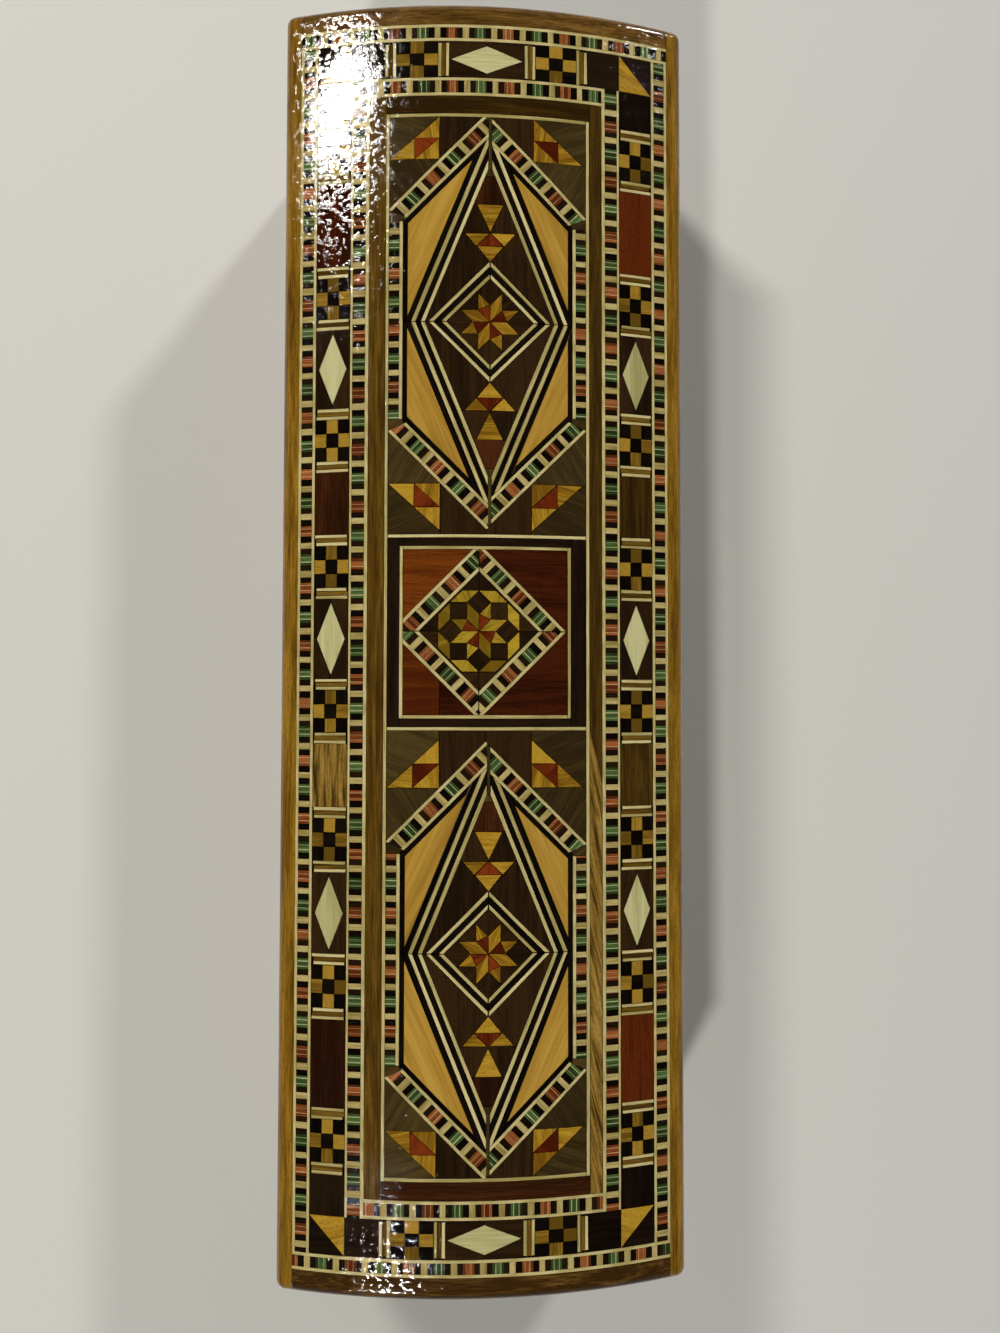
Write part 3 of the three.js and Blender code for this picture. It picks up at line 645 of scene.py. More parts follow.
def joinPieces(parts, name):
    whole = parts[0]
    if len(parts) > 1:
        with bpy.context.temp_override(
            object=whole, active_object=whole, selected_objects=parts, selected_editable_objects=parts,
        ):
            bpy.ops.object.join()
    whole.name = whole.data.name = name
    return whole


def read(items, key, width, kind=float):
    values = np.empty(len(items) * width, kind)
    items.foreach_get(key, values)
    return values.reshape(-1, width)


def archNormals(mesh):
    # The lid was sanded as one arch, so tops are shaded as one arch too.
    corners = read(mesh.loops, "vertex_index", 1, int)[:, 0]
    lean = read(mesh.vertices, "co", 3)[corners, 1] / (lid["radius"] * mm)
    sizes = read(mesh.polygons, "loop_total", 1, int)[:, 0]
    normals = np.repeat(read(mesh.polygons, "normal", 3), sizes, axis=0)
    top = normals[:, 2] > 0.8
    normals[top] = np.stack([0 * lean, lean, np.sqrt(1 - lean ** 2)], 1)[top]
    mesh.shade_smooth()
    mesh.normals_split_custom_set(normals)


def settle(piece, body, slot, *nodes):
    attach(piece, body)
    if nodes:
        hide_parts(*nodes)
    return piece


def lidPiece(name, slot, node, tesserae=(), strips=()):
    parts = [*strips, tesseraObject(name, tesserae)] if tesserae else list(strips)
    piece = joinPieces(parts, name)
    archNormals(piece.data)
    return settle(piece, "lid", slot, node)


# Borders of the lid
def layBorders():
    (edgeX, edgeY), (rodX, rodY) = lid["marquetry"], lid["outerRods"]
    (bandX, bandY), (inX, inY) = lid["band"], lid["innerRods"]
    (frameX, frameY), (fieldX, fieldY) = lid["frame"], lid["field"]
    frontFrame, frontField = -frameY - lid["frontMore"], -fieldHalves[-1]
    # by side: where a red slice sits in the outer and the inner strip, as seen on the photographed box
    reds = {"front": (8.7, 1.7), "back": (8.7, 2.9), "right": (-3.7, -3.9), "left": (-7.2, -0.4)}
    for side, sign, seed in (("front", -1, 0), ("back", 1, 1), ("right", 1, 8), ("left", -1, 9)):
        long = seed < 8
        plan = [(edgeX, rodX, edgeY, (0.52, 0.52)), (bandX, inX, inY, (0.52, 0.52))]
        if long:  # the inner strip's line towards the band is the thinner one
            plan = [(edgeY, rodY, rodX, (0.48, 0.48)), (bandY, inY, bandX, (0.38, 0.58)[::sign])]
        for ring, (kind, (high, low, reach, lines)) in enumerate(zip(("outer", "inner"), plan)):
            middle, length = sign * (high + low) / 2, 2 * reach - 2 * lid["joint"]
            strip = rodStrip(
                (0, middle) if long else (middle, 0), 0 if long else 90, length, high - low,
                reds[side][ring], lines, seed=seed + 4 * ring,
            )
            lidPiece(f"{side}_{kind}_rods", "rod_mosaic", f"{side}_{kind}_rod_strip", strips=[strip])

    meet = [(-15.0, frontFrame), (-24.0, -inY)]  # heart and sap meet in the front board
    boards = {
        "front": [([meet[1], (inX, -inY), (inX, frontFrame), meet[0]], "walnut", 0),
                  ([(-inX, -inY), meet[1], meet[0], (-inX, frontFrame)], "streaked", 13)],
        "back": [(rectangle(-inX, inX, frameY, inY), "paleWalnut", 0)],
        "right": [(rectangle(frameX, inX, frontFrame, frameY), "walnut", 90)],
        "left": [(rectangle(-inX, -frameX, frontFrame, frameY), "rosewood", 90)],
    }
    for side, board in boards.items():
        lidPiece(side + "_frame", "walnut_frame", side + "_walnut_frame", board)

    (low, high), line = lid["centre"], lid["crossLine"]
    lines = []
    for pair in ((frontFrame, frontField), (fieldY, frameY)):
        lines.append((rectangle(-frameX, frameX, *pair), "holly", 0))
    for pair in ((-frameX, -fieldX), (low, low + line), (high - line, high), (fieldX, frameX)):
        lines.append((rectangle(*pair, frontField, fieldY), "holly", 90))
    lidPiece("field_lines", "cream_line", "field_stringing", lines)


# Bands of checkers, tiles and bone rhombi. Widths along a band, from its middle to its end.
bandPlan = {
    "doubleLine": 1.9,
    "line": 0.58,
    "checker": 7.2,
    "bone": (12.4, 4.85),
    "sideRun": [("bone", 6.8), ("checker", 0), ("brown", 10.7), ("checker", 0), ("bone", 13.6),
                ("checker", 0), ("red", 14.6), ("checker", 0), ("dark", 0)],
    "endRun": [("bone", 6.5), ("checker", 0), ("dark", 0)],
    "tiles": {"brown": "walnut", "red": "padauk", "dark": "blackWalnut"},
    # where the old box differs, by side and half
    "others": {("back", 1): {"brown": "rosewood"}, ("back", -1): {"brown": "streaked", "red": "rosewood"}},
}


def doubleLine(x, y0, y1):
    # the strips stop a little short of the rods, with dark glue in the gap
    width, line = bandPlan["doubleLine"], bandPlan["line"]
    dice = random.Random(round(x * 7 + y0))
    edges = [x, x + line, x + width - line, x + width]
    pieces = []
    for left, right, wood in zip(edges, edges[1:], ("holly", "paleWalnut", "holly")):
        low, high = y0 + dice.uniform(0.05, 0.4), y1 - dice.uniform(0.05, 0.4)
        for bottom, top, kind in ((low, high, wood), (y0, low, "ebony"), (high, y1, "ebony")):
            pieces.append((rectangle(left, right, bottom, top), kind, 90))
    return pieces


def checkers(x0, x1, y0, y1, columns=3, rows=3):
    wide, high = (x1 - x0) / columns, (y1 - y0) / rows
    return [
        (rectangle(x0 + wide * i, x0 + wide * (i + 1), y0 + high * j, y0 + high * (j + 1)),
         "checkTile" if (i + j) % 2 else "ebony", 90 * (i % 2))
        for i in range(columns) for j in range(rows)
    ]


def boneField(x0, x1, y0, y1):
    # a bone rhombus between four dark triangles
    cx, cy = (x0 + x1) / 2, (y0 + y1) / 2
    hx, hy = (size / 2 for size in bandPlan["bone"])
    tips = [(cx + hx, cy), (cx, cy + hy), (cx - hx, cy), (cx, cy - hy)]
    sides = [(x1, cy), (cx, y1), (x0, cy), (cx, y0)]
    pieces = [(tips, "bone", 0)]
    for i, corner in enumerate([(x1, y1), (x0, y1), (x0, y0), (x1, y0)]):
        j = (i + 1) % 4
        pieces.append(([sides[i], corner, sides[j], tips[j], tips[i]], "darkWalnut", 0))
    return pieces


def bandPieces(run, y0, y1, end, tiles):
    # a whole band: its middle, then one half mirrored
    pieces = boneField(-run[0][1], run[0][1], y0, y1)
    for half in (1, -1):
        drawn, x = [], run[0][1]
        for kind, width in run[1:]:
            drawn += doubleLine(x, y0, y1)
            x += bandPlan["doubleLine"]
            width = width or (bandPlan["checker"] if kind == "checker" else end - x)
            if kind in ("checker", "bone"):
                drawn += (checkers if kind == "checker" else boneField)(x, x + width, y0, y1)
            else:
                drawn.append((rectangle(x, x + width, y0, y1), tiles[half][kind], 0))
            x += width
        pieces += moved(drawn, flipX=half)
        if run is bandPlan["endRun"]:
            # corner block: golden towards the middle, dark outside
            a, b, c, d = rectangle(end, lid["outerRods"][1], y0, y1)
            pieces += moved([([a, b, d], "goldenTile", 20), ([b, c, d], "blackWalnut", 0)], flipX=half)
    return pieces


def layBands():
    (bandX, bandY), (rodX, rodY) = lid["band"], lid["outerRods"]
    for side, sign in (("front", -1), ("back", 1)):
        tiles = {half: bandPlan["tiles"] | bandPlan["others"].get((side, half), {}) for half in (1, -1)}
        pieces = bandPieces(bandPlan["sideRun"], *sorted((sign * bandY, sign * rodY)), bandX, tiles)
        lidPiece(side + "_band", "inlay_ground", side + "_checker_band", pieces)
    tiles = {half: bandPlan["tiles"] for half in (1, -1)}
    for side, sign in (("right", 1), ("left", -1)):
        pieces = bandPieces(bandPlan["endRun"], bandX, rodX, bandY, tiles)
        turned = [([(sign * y, x) for x, y in points], wood, grain + 90) for points, wood, grain in pieces]
        lidPiece(side + "_band", "inlay_ground", side + "_checker_band", turned)


# Star of eight rhombs round a centre. Every other one is split into a red kite and a golden tip.
waistShare = 1 / (2 * math.cos(math.radians(22.5)))


def starPieces(radius, firstSplit, gold="goldenTile"):
    side = radius * waistShare
    pieces = []
    for k in range(8):
        way = 22.5 + 45 * k
        left, tip, right = polar(side, way + 22.5), polar(radius, way), polar(side, way - 22.5)
        if k % 2 == firstSplit:
            pieces += [([(0, 0), right, left], "redTile", way), ([right, tip, left], gold, way)]
        else:
            pieces.append(([(0, 0), right, tip, left], gold, way))
    return pieces


def starGround(radius, outline):
    pieces = []
    for k in range(8):
        way = 45 * k
        waist = polar(radius * waistShare, way)
        left, right = polar(radius, way + 22.5), polar(radius, way - 22.5)
        shape = cut(
            outline, beyondLine(waist, right), beyondLine(left, waist),
            beyondLine((0, 0), right), beyondLine(left, (0, 0)),
        )
        pieces.append((shape, "darkWalnut", way))
    return pieces


diamondPlan = {
    "hexagon": {"right": (18.6, 90.3), "left": (-90.0, -17.4)},  # where the strips meet, along the lid
    "diagonalRod": 3.2,
    "sideRod": 2.35,
    "sideLines": (0, 0.56),  # outside, where the field's own line serves, and inside
    "shoulder": ((1.3, 2.65), (0.1, 0)),  # the two ends of the cut there, from the hexagon's corner
    "shoulderFiller": 2.1,
    "blackLine": 0.8,
    "rhombus": {"right": (54.1, -0.62), "left": (-52.75, -0.55)},  # its centre, as set on the old box
    "rhombusSize": (35.5, 14.45),
    "stringing": [("ebony", 0.9), ("holly", 0.68), ("ebony", 0.85), ("holly", 0.68)],
    "rows": (25.2, 20.3, 15.3, 13.1, 10.35),  # joints in the points of the rhombus
    "rowHalves": (2.3, 4.35),  # half widths of the golden triangles there
    "medallion": 10.5,
    "medallionRings": [("holly", 0.62), ("ebony", 0.9), ("holly", 0.6)],
    "star": 5.4,
    "filler": 0.3,  # half the gap between the strips at each point
    "patch": {1: 8.1, -1: 7.8},  # how far from the long axis the corner triangles start, outer and inner end
    "reds": {(1, -1): 7.1, (1, 1): 3.1, (-1, -1): 6.4, (-1, 1): 1.8},
}


def panelCorners(plan, side, cx, tip, ends, shoulders):
    ground = []
    for flipX, reach in ends.items():
        ay = plan["patch"][flipX if side == "right" else -flipX]
        ax = tip + 0.05 - ay
        a, b, c = (ax, ay), (min(reach, ax + 8.1), ay), (ax, fieldHalves[1])
        ab, bc, ac = between(a, b), between(b, c), between(a, c)
        for flipY, half in fieldHalves.items():
            corner = cut(rectangle(0, reach, 0, half), (-1, -1, -tip))
            notch = tip - half - plan["shoulderFiller"]
            low, high = shoulders[flipY]
            ground += moved([
                (cut(corner, (0, 1, ay)), "darkWalnut", 0),
                (cut(corner, (0, -1, -ay), (1, 0, ax)), "oliveWalnut", 30),
                (cut(corner, beyondLine(c, b), (0, -1, -ay), (-1, 0, -ax)), "oliveWalnut", 70),
                ([a, ab, ac], "goldenTile", 10),
                ([ab, b, bc], "goldenTile", 10),
                ([ac, bc, c], "goldenTile", 80),
                ([ab, bc, ac], "redTile", 45),
                ([low, (notch, half - plan["sideRod"]), (notch, half), high], "oliveWalnut", 60),
            ], cx, 0, flipX, flipY)
    return ground


def insideRods(plan, cx, tip, ends, mx, my):
    # what lies inside the rods, a quarter at a time round the middle of the rhombus
    rodIn = tip - plan["diagonalRod"] * root2
    lineIn = rodIn - plan["blackLine"] * root2
    nx, ny, far = slant(*plan["rhombusSize"])
    inner = far - sum(width for _, width in plan["stringing"])
    inside, outside = (nx, ny, inner), (-nx, -ny, -far)
    row0, row1, row2, row3, row4 = plan["rows"]
    half1, half2 = plan["rowHalves"]
    half3 = half2 / (row2 - row4) * (row3 - row4)
    notch = plan["filler"]
    capEnd = (inner - ny * notch) / nx
    hexLines, light, stringing, points, medallion = [], [], [], [], []
    for flipX in (1, -1):
        offX = flipX * (mx - cx)
        reach = ends[flipX] - offX
        for flipY, half in fieldHalves.items():
            offY = flipY * my
            sideIn = half - plan["sideRod"] - offY
            sideLine = sideIn - plan["blackLine"]
            plane = rectangle(0, reach, 0, half - offY)
            inRods, inLine = (1, 1, rodIn - offX - offY), (1, 1, lineIn - offX - offY)
            inSide = (0, 1, sideIn)
            black = [
                (cut(plane, inRods, (-1, -1, -inLine[2]), outside, inSide), "ebony", 135),
                (cut(plane, inLine, inSide, (0, -1, -sideLine), outside), "ebony", 0),
            ]
            field = [(cut(plane, inLine, (0, 1, sideLine), outside), "honey", 156)]
            lines, _ = rings(
                plane, nx, ny, far, plan["stringing"], 158, inRods, inSide, (0, -1, -notch), (-1, 0, -0.04),
            )
            size = plan["medallion"]
            apex = [
                (cut(plane, inside, (1, 0, row1), (-1, 0, -row2), beyondLine((row2 + 0.3, 0), (row1, half1))),
                 "darkWalnut", 0),
                ([(row2, half2), (row3, half3), (row2, 0.15)], "goldenTile", 90),
                (cut(plane, inside, (1, 0, row2), beyondLine((row4, 0), (row2, half2)), (-1, -1, -size)),
                 "darkWalnut", 0),
            ]
            circle, size = rings(
                plane, 1, 1, size, plan["medallionRings"], 135, (0, -1, -0.06), (-1, 0, -0.06), scale=root2,
            )
            lists = (hexLines, black), (light, field), (stringing, lines), (points, apex), (medallion, circle)
            for pieces, drawn in lists:
                pieces += moved(drawn, mx, my, flipX, flipY)
        # these lie across the axis; the filler closes the gap between the strips at the point
        across = [
            (cut(plane, inside, (1, 0, row0), (-1, 0, -row1)), "rosewood", 0),
            ([(row1, 0), (row1, half1), (row2 + 0.3, 0)], "goldenTile", 90),
            ([(row2, 0), (row2, 0.1), (row3, half3 - 0.1), (row3, 0)], "redTile", 0),
            ([(row3, 0), (row3, half3 - 0.15), (row4, 0)], "goldenTile", 90),
            (cut(plane, inside, (-1, 0, -row0), (1, 0, capEnd)), "oliveWalnut", 0),
            (rectangle(capEnd, reach - 0.02, 0, notch), "oliveWalnut", 0),
        ]
        hexagon = [(1, 1, tip - offX - my), (1, -1, tip - offX + my)]
        whole = [(cut(acrossAxis(shape), *hexagon), wood, grain) for shape, wood, grain in across]
        points += moved(whole, mx, my, flipX)
    medallion += moved(starGround(plan["star"], diamond(size)), mx, my)
    return hexLines, light, stringing, points, medallion


def hexagonRods(plan, cx, tip, ends, shoulders, my, redSide):
    strips = []
    centreTip = tip - plan["diagonalRod"] * root2 / 2
    for number, ((flipX, flipY), red) in enumerate(plan["reds"].items()):
        half, ((lowX, lowY), (highX, highY)) = fieldHalves[flipY], shoulders[flipY]
        saws = [
            ((cx, my + flipY * plan["filler"]), (0, -flipY)),
            ((cx + flipX * (min(tip, ends[flipX]) - 0.02), 0), (flipX, 0)),
            ((cx + flipX * lowX, flipY * lowY), (flipX * (lowY - highY), flipY * (highX - lowX))),
            ((cx, flipY * (half - 0.02)), (0, flipY)),
        ]
        strips.append(rodStrip(
            (cx + flipX * (centreTip - half / 2), flipY * half / 2), math.degrees(math.atan2(flipY, -flipX)),
            half * root2 + 4, plan["diagonalRod"], red - half / 2 * root2, saws=saws, seed=number + 20,
        ))
    for flipY, half in fieldHalves.items():
        strips.append(rodStrip(
            (cx, flipY * (half - plan["sideRod"] / 2)), 0, 2 * (tip - half - plan["shoulderFiller"] - 0.05),
            plan["sideRod"], redSide - cx, plan["sideLines"][::flipY], seed=30 + flipY,
        ))
    return strips


def diamondPanel(side, start, end, redSide):
    plan = diamondPlan
    low, high = plan["hexagon"][side]
    cx, tip = (low + high) / 2, (high - low) / 2
    ends = {1: end - cx, -1: cx - start}
    shoulders = {
        s: [(tip - half - x, half - y) for x, y in plan["shoulder"]] for s, half in fieldHalves.items()
    }
    mx, my = plan["rhombus"][side]
    hexLines, light, stringing, points, medallion = insideRods(plan, cx, tip, ends, mx, my)
    star = moved(starPieces(plan["star"], 0), mx, my)
    name = side + "_panel_"
    for piece, slot, node, pieces in (
        ("corners", "dark_walnut", "ground", panelCorners(plan, side, cx, tip, ends, shoulders)),
        ("fields", "maple_field", "light_field", light),
        ("stringing", "cream_line", "rhombus_stringing", stringing),
        ("diamond", "dark_walnut", "rhombus", points),
        ("rings", "ebony", "medallion", medallion),
        ("rosette", "golden_tile", "star", star),
    ):
        lidPiece(name + piece, slot, name + node, pieces)
    strips = hexagonRods(plan, cx, tip, ends, shoulders, my, redSide)
    lidPiece(name + "hexagon", "rod_mosaic", name + "rod_hexagon", hexLines, strips)
    print(side, "panel laid")


centrePlan = {
    "square": 14.6,  # half of it
    "line": 0.6,
    "middle": (1.25, 1.15),  # of the diamond and the rosette, a little off the square's, as on the old box
    "rodDiamond": 14.9,
    "rodInner": 10.2,
    "rodLines": (0.55, 0.55),
    "rhomb": 2.85,  # side of the rosette's rhombs
    # how far from the long axis the paler board reaches in, by corner; 99 is not at all
    "paler": {(1, 1): 0, (1, -1): 99, (-1, 1): 6.6, (-1, -1): 99},
    "reds": {(1, -1): 0.8, (1, 1): -2.7, (-1, 1): -6.3, (-1, -1): -1.6},
}


def rosettePieces(side, size):
    # star of eight, a ring of squares between its points, rhombs between the squares
    radius, far = side / waistShare, side * (1 + root2)
    pieces = starPieces(radius, 1, "limeWood")
    bed = []
    for k in range(8):
        way = 45 * k
        waist, corner, nextCorner = polar(side, way), polar(far, way), polar(far, way + 45)
        left, right = polar(radius, way + 22.5), polar(radius, way - 22.5)
        bed.append(([waist, right, corner, left], "darkWalnut", way + 45))
        peak = (corner[0] + nextCorner[0] - left[0], corner[1] + nextCorner[1] - left[1])
        keep = [(sx, sy, size) for sx, sy in quarters]
        pieces.append((cut([left, corner, peak, nextCorner], *keep), "limeWood", way + 22.5))
        for a, b in ((corner, peak), (peak, nextCorner)):
            shape = cut(diamond(size), beyondLine(b, a), beyondLine((0, 0), a), beyondLine(b, (0, 0)))
            bed.append((shape, "darkWalnut", way))
    return pieces, bed


def layCentre():
    plan = centrePlan
    low, high = (edge + s * lid["crossLine"] for edge, s in zip(lid["centre"], (1, -1)))
    cx, reach = (low + high) / 2, (high - low) / 2
    outer = plan["square"]
    within = outer - plan["line"]
    band, ground = [], []
    for s, half in fieldHalves.items():
        band.append((rectangle(-reach, reach, *sorted((s * outer, s * half))), "blackWalnut", 0))
        band.append((rectangle(*sorted((s * outer, s * reach)), -outer, outer), "blackWalnut", 90))
        ground.append((rectangle(-outer, outer, *sorted((s * within, s * outer))), "holly", 0))
        ground.append((rectangle(*sorted((s * within, s * outer)), -within, within), "holly", 90))
    size, inner = plan["rodDiamond"], plan["rodInner"]
    mx, my = plan["middle"]
    for flipX, flipY in quarters:
        corner = cut(rectangle(0, within - flipX * (mx - cx), 0, within - flipY * my), (-1, -1, -size))
        change = plan["paler"][flipX, flipY]
        paler, darker = cut(corner, (0, -1, -change)), cut(corner, (0, 1, change))
        parts = [(paler, "mahogany", 87), (darker, "darkMahogany", 92)]
        ground += moved(parts, mx - cx, my, flipX, flipY)
    lidPiece("centre_band", "ebony", "centre_panel_band", moved(band, cx))
    lidPiece("centre_corners", "mahogany", "centre_panel_ground", moved(ground, cx))
    strips = []
    for number, ((flipX, flipY), red) in enumerate(plan["reds"].items()):
        mid = (size + inner) / 4
        saws = [
            ((mx, my + flipY * 0.1), (0, -flipY)), ((mx + flipX * 0.1, my), (-flipX, 0)),
            ((cx + flipX * (within - 0.02), 0), (flipX, 0)), ((cx, flipY * (within - 0.02)), (0, flipY)),
        ]
        strips.append(rodStrip(
            (mx + flipX * mid, my + flipY * mid), math.degrees(math.atan2(flipY, -flipX)), size * root2 + 4,
            (size - inner) / root2, red, plan["rodLines"], saws=saws, seed=number + 40,
        ))
    lidPiece("centre_rods", "rod_mosaic", "centre_panel_rod_diamond", strips=strips)
    pieces, bed = rosettePieces(plan["rhomb"], inner)
    lidPiece("centre_rosette_ground", "ebony", "centre_panel_medallion", moved(bed, mx, my))
    lidPiece("centre_rosette_star", "golden_tile", "centre_panel_rosette", moved(pieces, mx, my))


layBorders()
print("rod strips and frame laid")
layBands()
diamondPanel("right", lid["centre"][1], lid["field"][0], 62.5)
diamondPanel("left", -lid["field"][0], lid["centre"][0], -46.0)
layCentre()
print("lid marquetry laid")

# Solid wood: the CAD's own boards with their free edges eased and the grain set along them
boards = {
    "ease": 0.3,
    "bent": 0.7,  # edges bent more than this are eased, in radians
    "sharp": 35,  # and more than this stay sharp, in degrees
    "round": 1.8,  # of the lid's top edges, as in the CAD
    "outside": (110.0, 35.0),
    "inside": (104.2, 32.1),
    "levels": (0, 34, 34.2),  # underside, rim and lid edge
    "wood": {  # wood, axis of the grain, slot, tone from dark -1 to light 1
        "case_front_wall": ("golden", 0, "golden_edging", 0.1),
        "case_back_wall": ("golden", 0, "golden_edging", 0.1),
        "case_left_end": ("brownWalnut", 1, "walnut_ends", -0.7),
        "case_right_end": ("brownWalnut", 1, "walnut_ends", 0.1),
        "case_floor": ("carcass", 0, "carcass_wood", 0),
        "lid_front_rail": ("golden", 0, "golden_edging", 0.1),
        "lid_back_rail": ("golden", 0, "golden_edging", 0.1),
        "lid_left_gable": ("brownWalnut", 1, "walnut_ends", -0.9),
        "lid_right_gable": ("brownWalnut", 1, "walnut_ends", 0.1),
        "lid_panel": ("carcass", 0, "carcass_wood", 0),
    },
}


def edgeClass(place):
    x, y, z = (abs(c) for c in place / mm)
    outX, outY = boards["outside"]
    inX, inY = boards["inside"]
    close, skin = 0.02, boards["round"] + 0.1
    if min(abs(z - level) for level in boards["levels"]) > close:
        return ""
    if x > outX - skin or y > outY - skin:
        return "outside"
    return "rim" if x < inX and y < inY else ""


def roundedNormal(place):
    # the lid's outside is everywhere one rounding away from a smaller arched core
    x, y, z = place / mm
    radius = boards["round"]
    coreX, side = (out - radius for out in boards["outside"])
    centre, core = lid["crown"] - lid["radius"], lid["radius"] - radius
    rise = math.sqrt(core ** 2 - side ** 2)
    lean = math.atan2(y, z - centre)
    if abs(lean) < math.atan2(side, rise):
        coreY, coreZ = core * math.sin(lean), centre + core * math.cos(lean)
    else:
        coreY, coreZ = math.copysign(side, y), min(z, centre + rise)
    away = Vector((x - max(-coreX, min(coreX, x)), y - coreY, z - coreZ))
    return away.normalized() if abs(away.length - radius) < 0.12 else None


def dressedCopy(node, name, material):
    shape = bmesh.new()
    shape.from_mesh(bpy.data.objects[node].data)
    bmesh.ops.remove_doubles(shape, verts=shape.verts, dist=2e-6)
    bmesh.ops.dissolve_limit(shape, angle_limit=math.radians(0.4), verts=shape.verts, edges=shape.edges)
    free = []
    for edge in shape.edges:
        classes = {edgeClass(v.co) for v in edge.verts}
        alike = len(classes) == 1 and classes != {""}
        if edge.is_manifold and edge.calc_face_angle() > boards["bent"] and alike:
            free.append(edge)
    if free:
        bmesh.ops.bevel(
            shape, geom=free, offset=boards["ease"] * mm, offset_type="OFFSET", segments=2,
            profile=0.5, affect="EDGES", clamp_overlap=True,
        )
    mesh = bpy.data.meshes.new(name)
    shape.to_mesh(mesh)
    shape.free()
    mesh.materials.append(material)
    mesh.shade_smooth()
    mesh.set_sharp_from_angle(angle=math.radians(boards["sharp"]))
    return mesh


def woodBoard(node):
    wood, axis, slot, tone = boards["wood"][node]
    name = node + "_board"
    mesh = dressedCopy(node, name, finish[wood])
    dice = random.Random(name)
    shift = (0, dice.uniform(0, 300), dice.uniform(0, 300))
    grain = read(mesh.vertices, "co", 3)[:, [axis, 1 - axis, 2]] / mm + shift
    setGrain(mesh, grain, [tone] * len(grain))
    if node.startswith("lid") and node != "lid_panel":
        normals = [Vector(n.vector) for n in mesh.corner_normals]
        for polygon in mesh.polygons:
            for loop in polygon.loop_indices:
                normal = roundedNormal(mesh.vertices[mesh.loops[loop].vertex_index].co)
                if normal and normal.dot(polygon.normal) > 0.93:
                    normals[loop] = normal
        mesh.normals_split_custom_set(normals)
    settle(link(name, mesh), node.split("_")[0], slot, node)


for node in boards["wood"]:
    woodBoard(node)
print("boards dressed")

# Marquetry of the four sides, drawn flat and then stood against its wall
sides = {
    "low": 3.65,
    "high": 29.95,
    "rods": 2.9,
    "frame": 1.7,
    "line": 0.6,
    "checker": (3, 6),  # columns and rows
    "starSquare": 7.95,  # half of it
    "star": 6.9,
    "rhombus": 58.3,
    "stringing": [("ebony", 0.7), ("holly", 0.55), ("ebony", 0.6), ("holly", 0.55)],
    "medallion": 4.9,
    "medallionRings": [("holly", 0.5), ("ebony", 0.6), ("holly", 0.5)],
    "smallStar": 1.85,
    "dart": (5.5, 9.5, 2.2),  # its tip and foot, from the medallion, and half its width
    "walls": {  # half length, way out to the face, wood of the frame
        "front": (105.75, (0, -35, 0), "walnut"),
        "back": (105.75, (0, 35, 0), "paleWalnut"),
        "right_end": (28.1, (110, 0, 0), "rosewood"),
        "left_end": (28.1, (-110, 0, 0), "mahogany"),
    },
}


def starSquare(half):
    corner = half * 0.42
    pieces = starPieces(sides["star"], 0) + starGround(sides["star"], rectangle(-half, half, -half, half))
    keep = [(sx, sy, 2 * half - corner) for sx, sy in quarters]
    kept = [(cut(points, *keep), wood, grain) for points, wood, grain in pieces]
    for sx, sy in quarters:
        tip = [(sx * half, sy * half), (sx * (half - corner), sy * half), (sx * half, sy * (half - corner))]
        kept.append((tip, "goldenTile", 45))
    return kept


def longRhombus(x0, x1, half):
    # light corners, a black and cream outline, a star medallion on dark walnut
    reach = (x1 - x0) / 2
    quarter = rectangle(0, reach, 0, half)
    nx, ny, far = slant(reach, half)
    lines, edge = rings(quarter, nx, ny, far, sides["stringing"], 165)
    pieces = [(cut(quarter, (-nx, -ny, -far)), "honey", 160)] + lines
    inside = (nx, ny, edge)
    size = sides["medallion"]
    tip, base, wide = sides["dart"]
    tip, base = size + tip, size + base
    pieces.append((cut([(tip, 0), (base, wide), (base, 0)], inside), "goldenTile", 90))
    for side in ([beyondLine((tip, 0), (base, wide)), (1, 0, base)], [(-1, 0, -base)]):
        pieces.append((cut(quarter, inside, (-1, -1, -size), *side), "darkWalnut", 0))
    lines, size = rings(quarter, 1, 1, size, sides["medallionRings"], 135, scale=root2)
    around = [t for fx, fy in quarters for t in moved(pieces + lines, 0, 0, fx, fy)]
    star = starPieces(sides["smallStar"], 0) + starGround(sides["smallStar"], diamond(size))
    return moved(around + star, (x0 + x1) / 2)


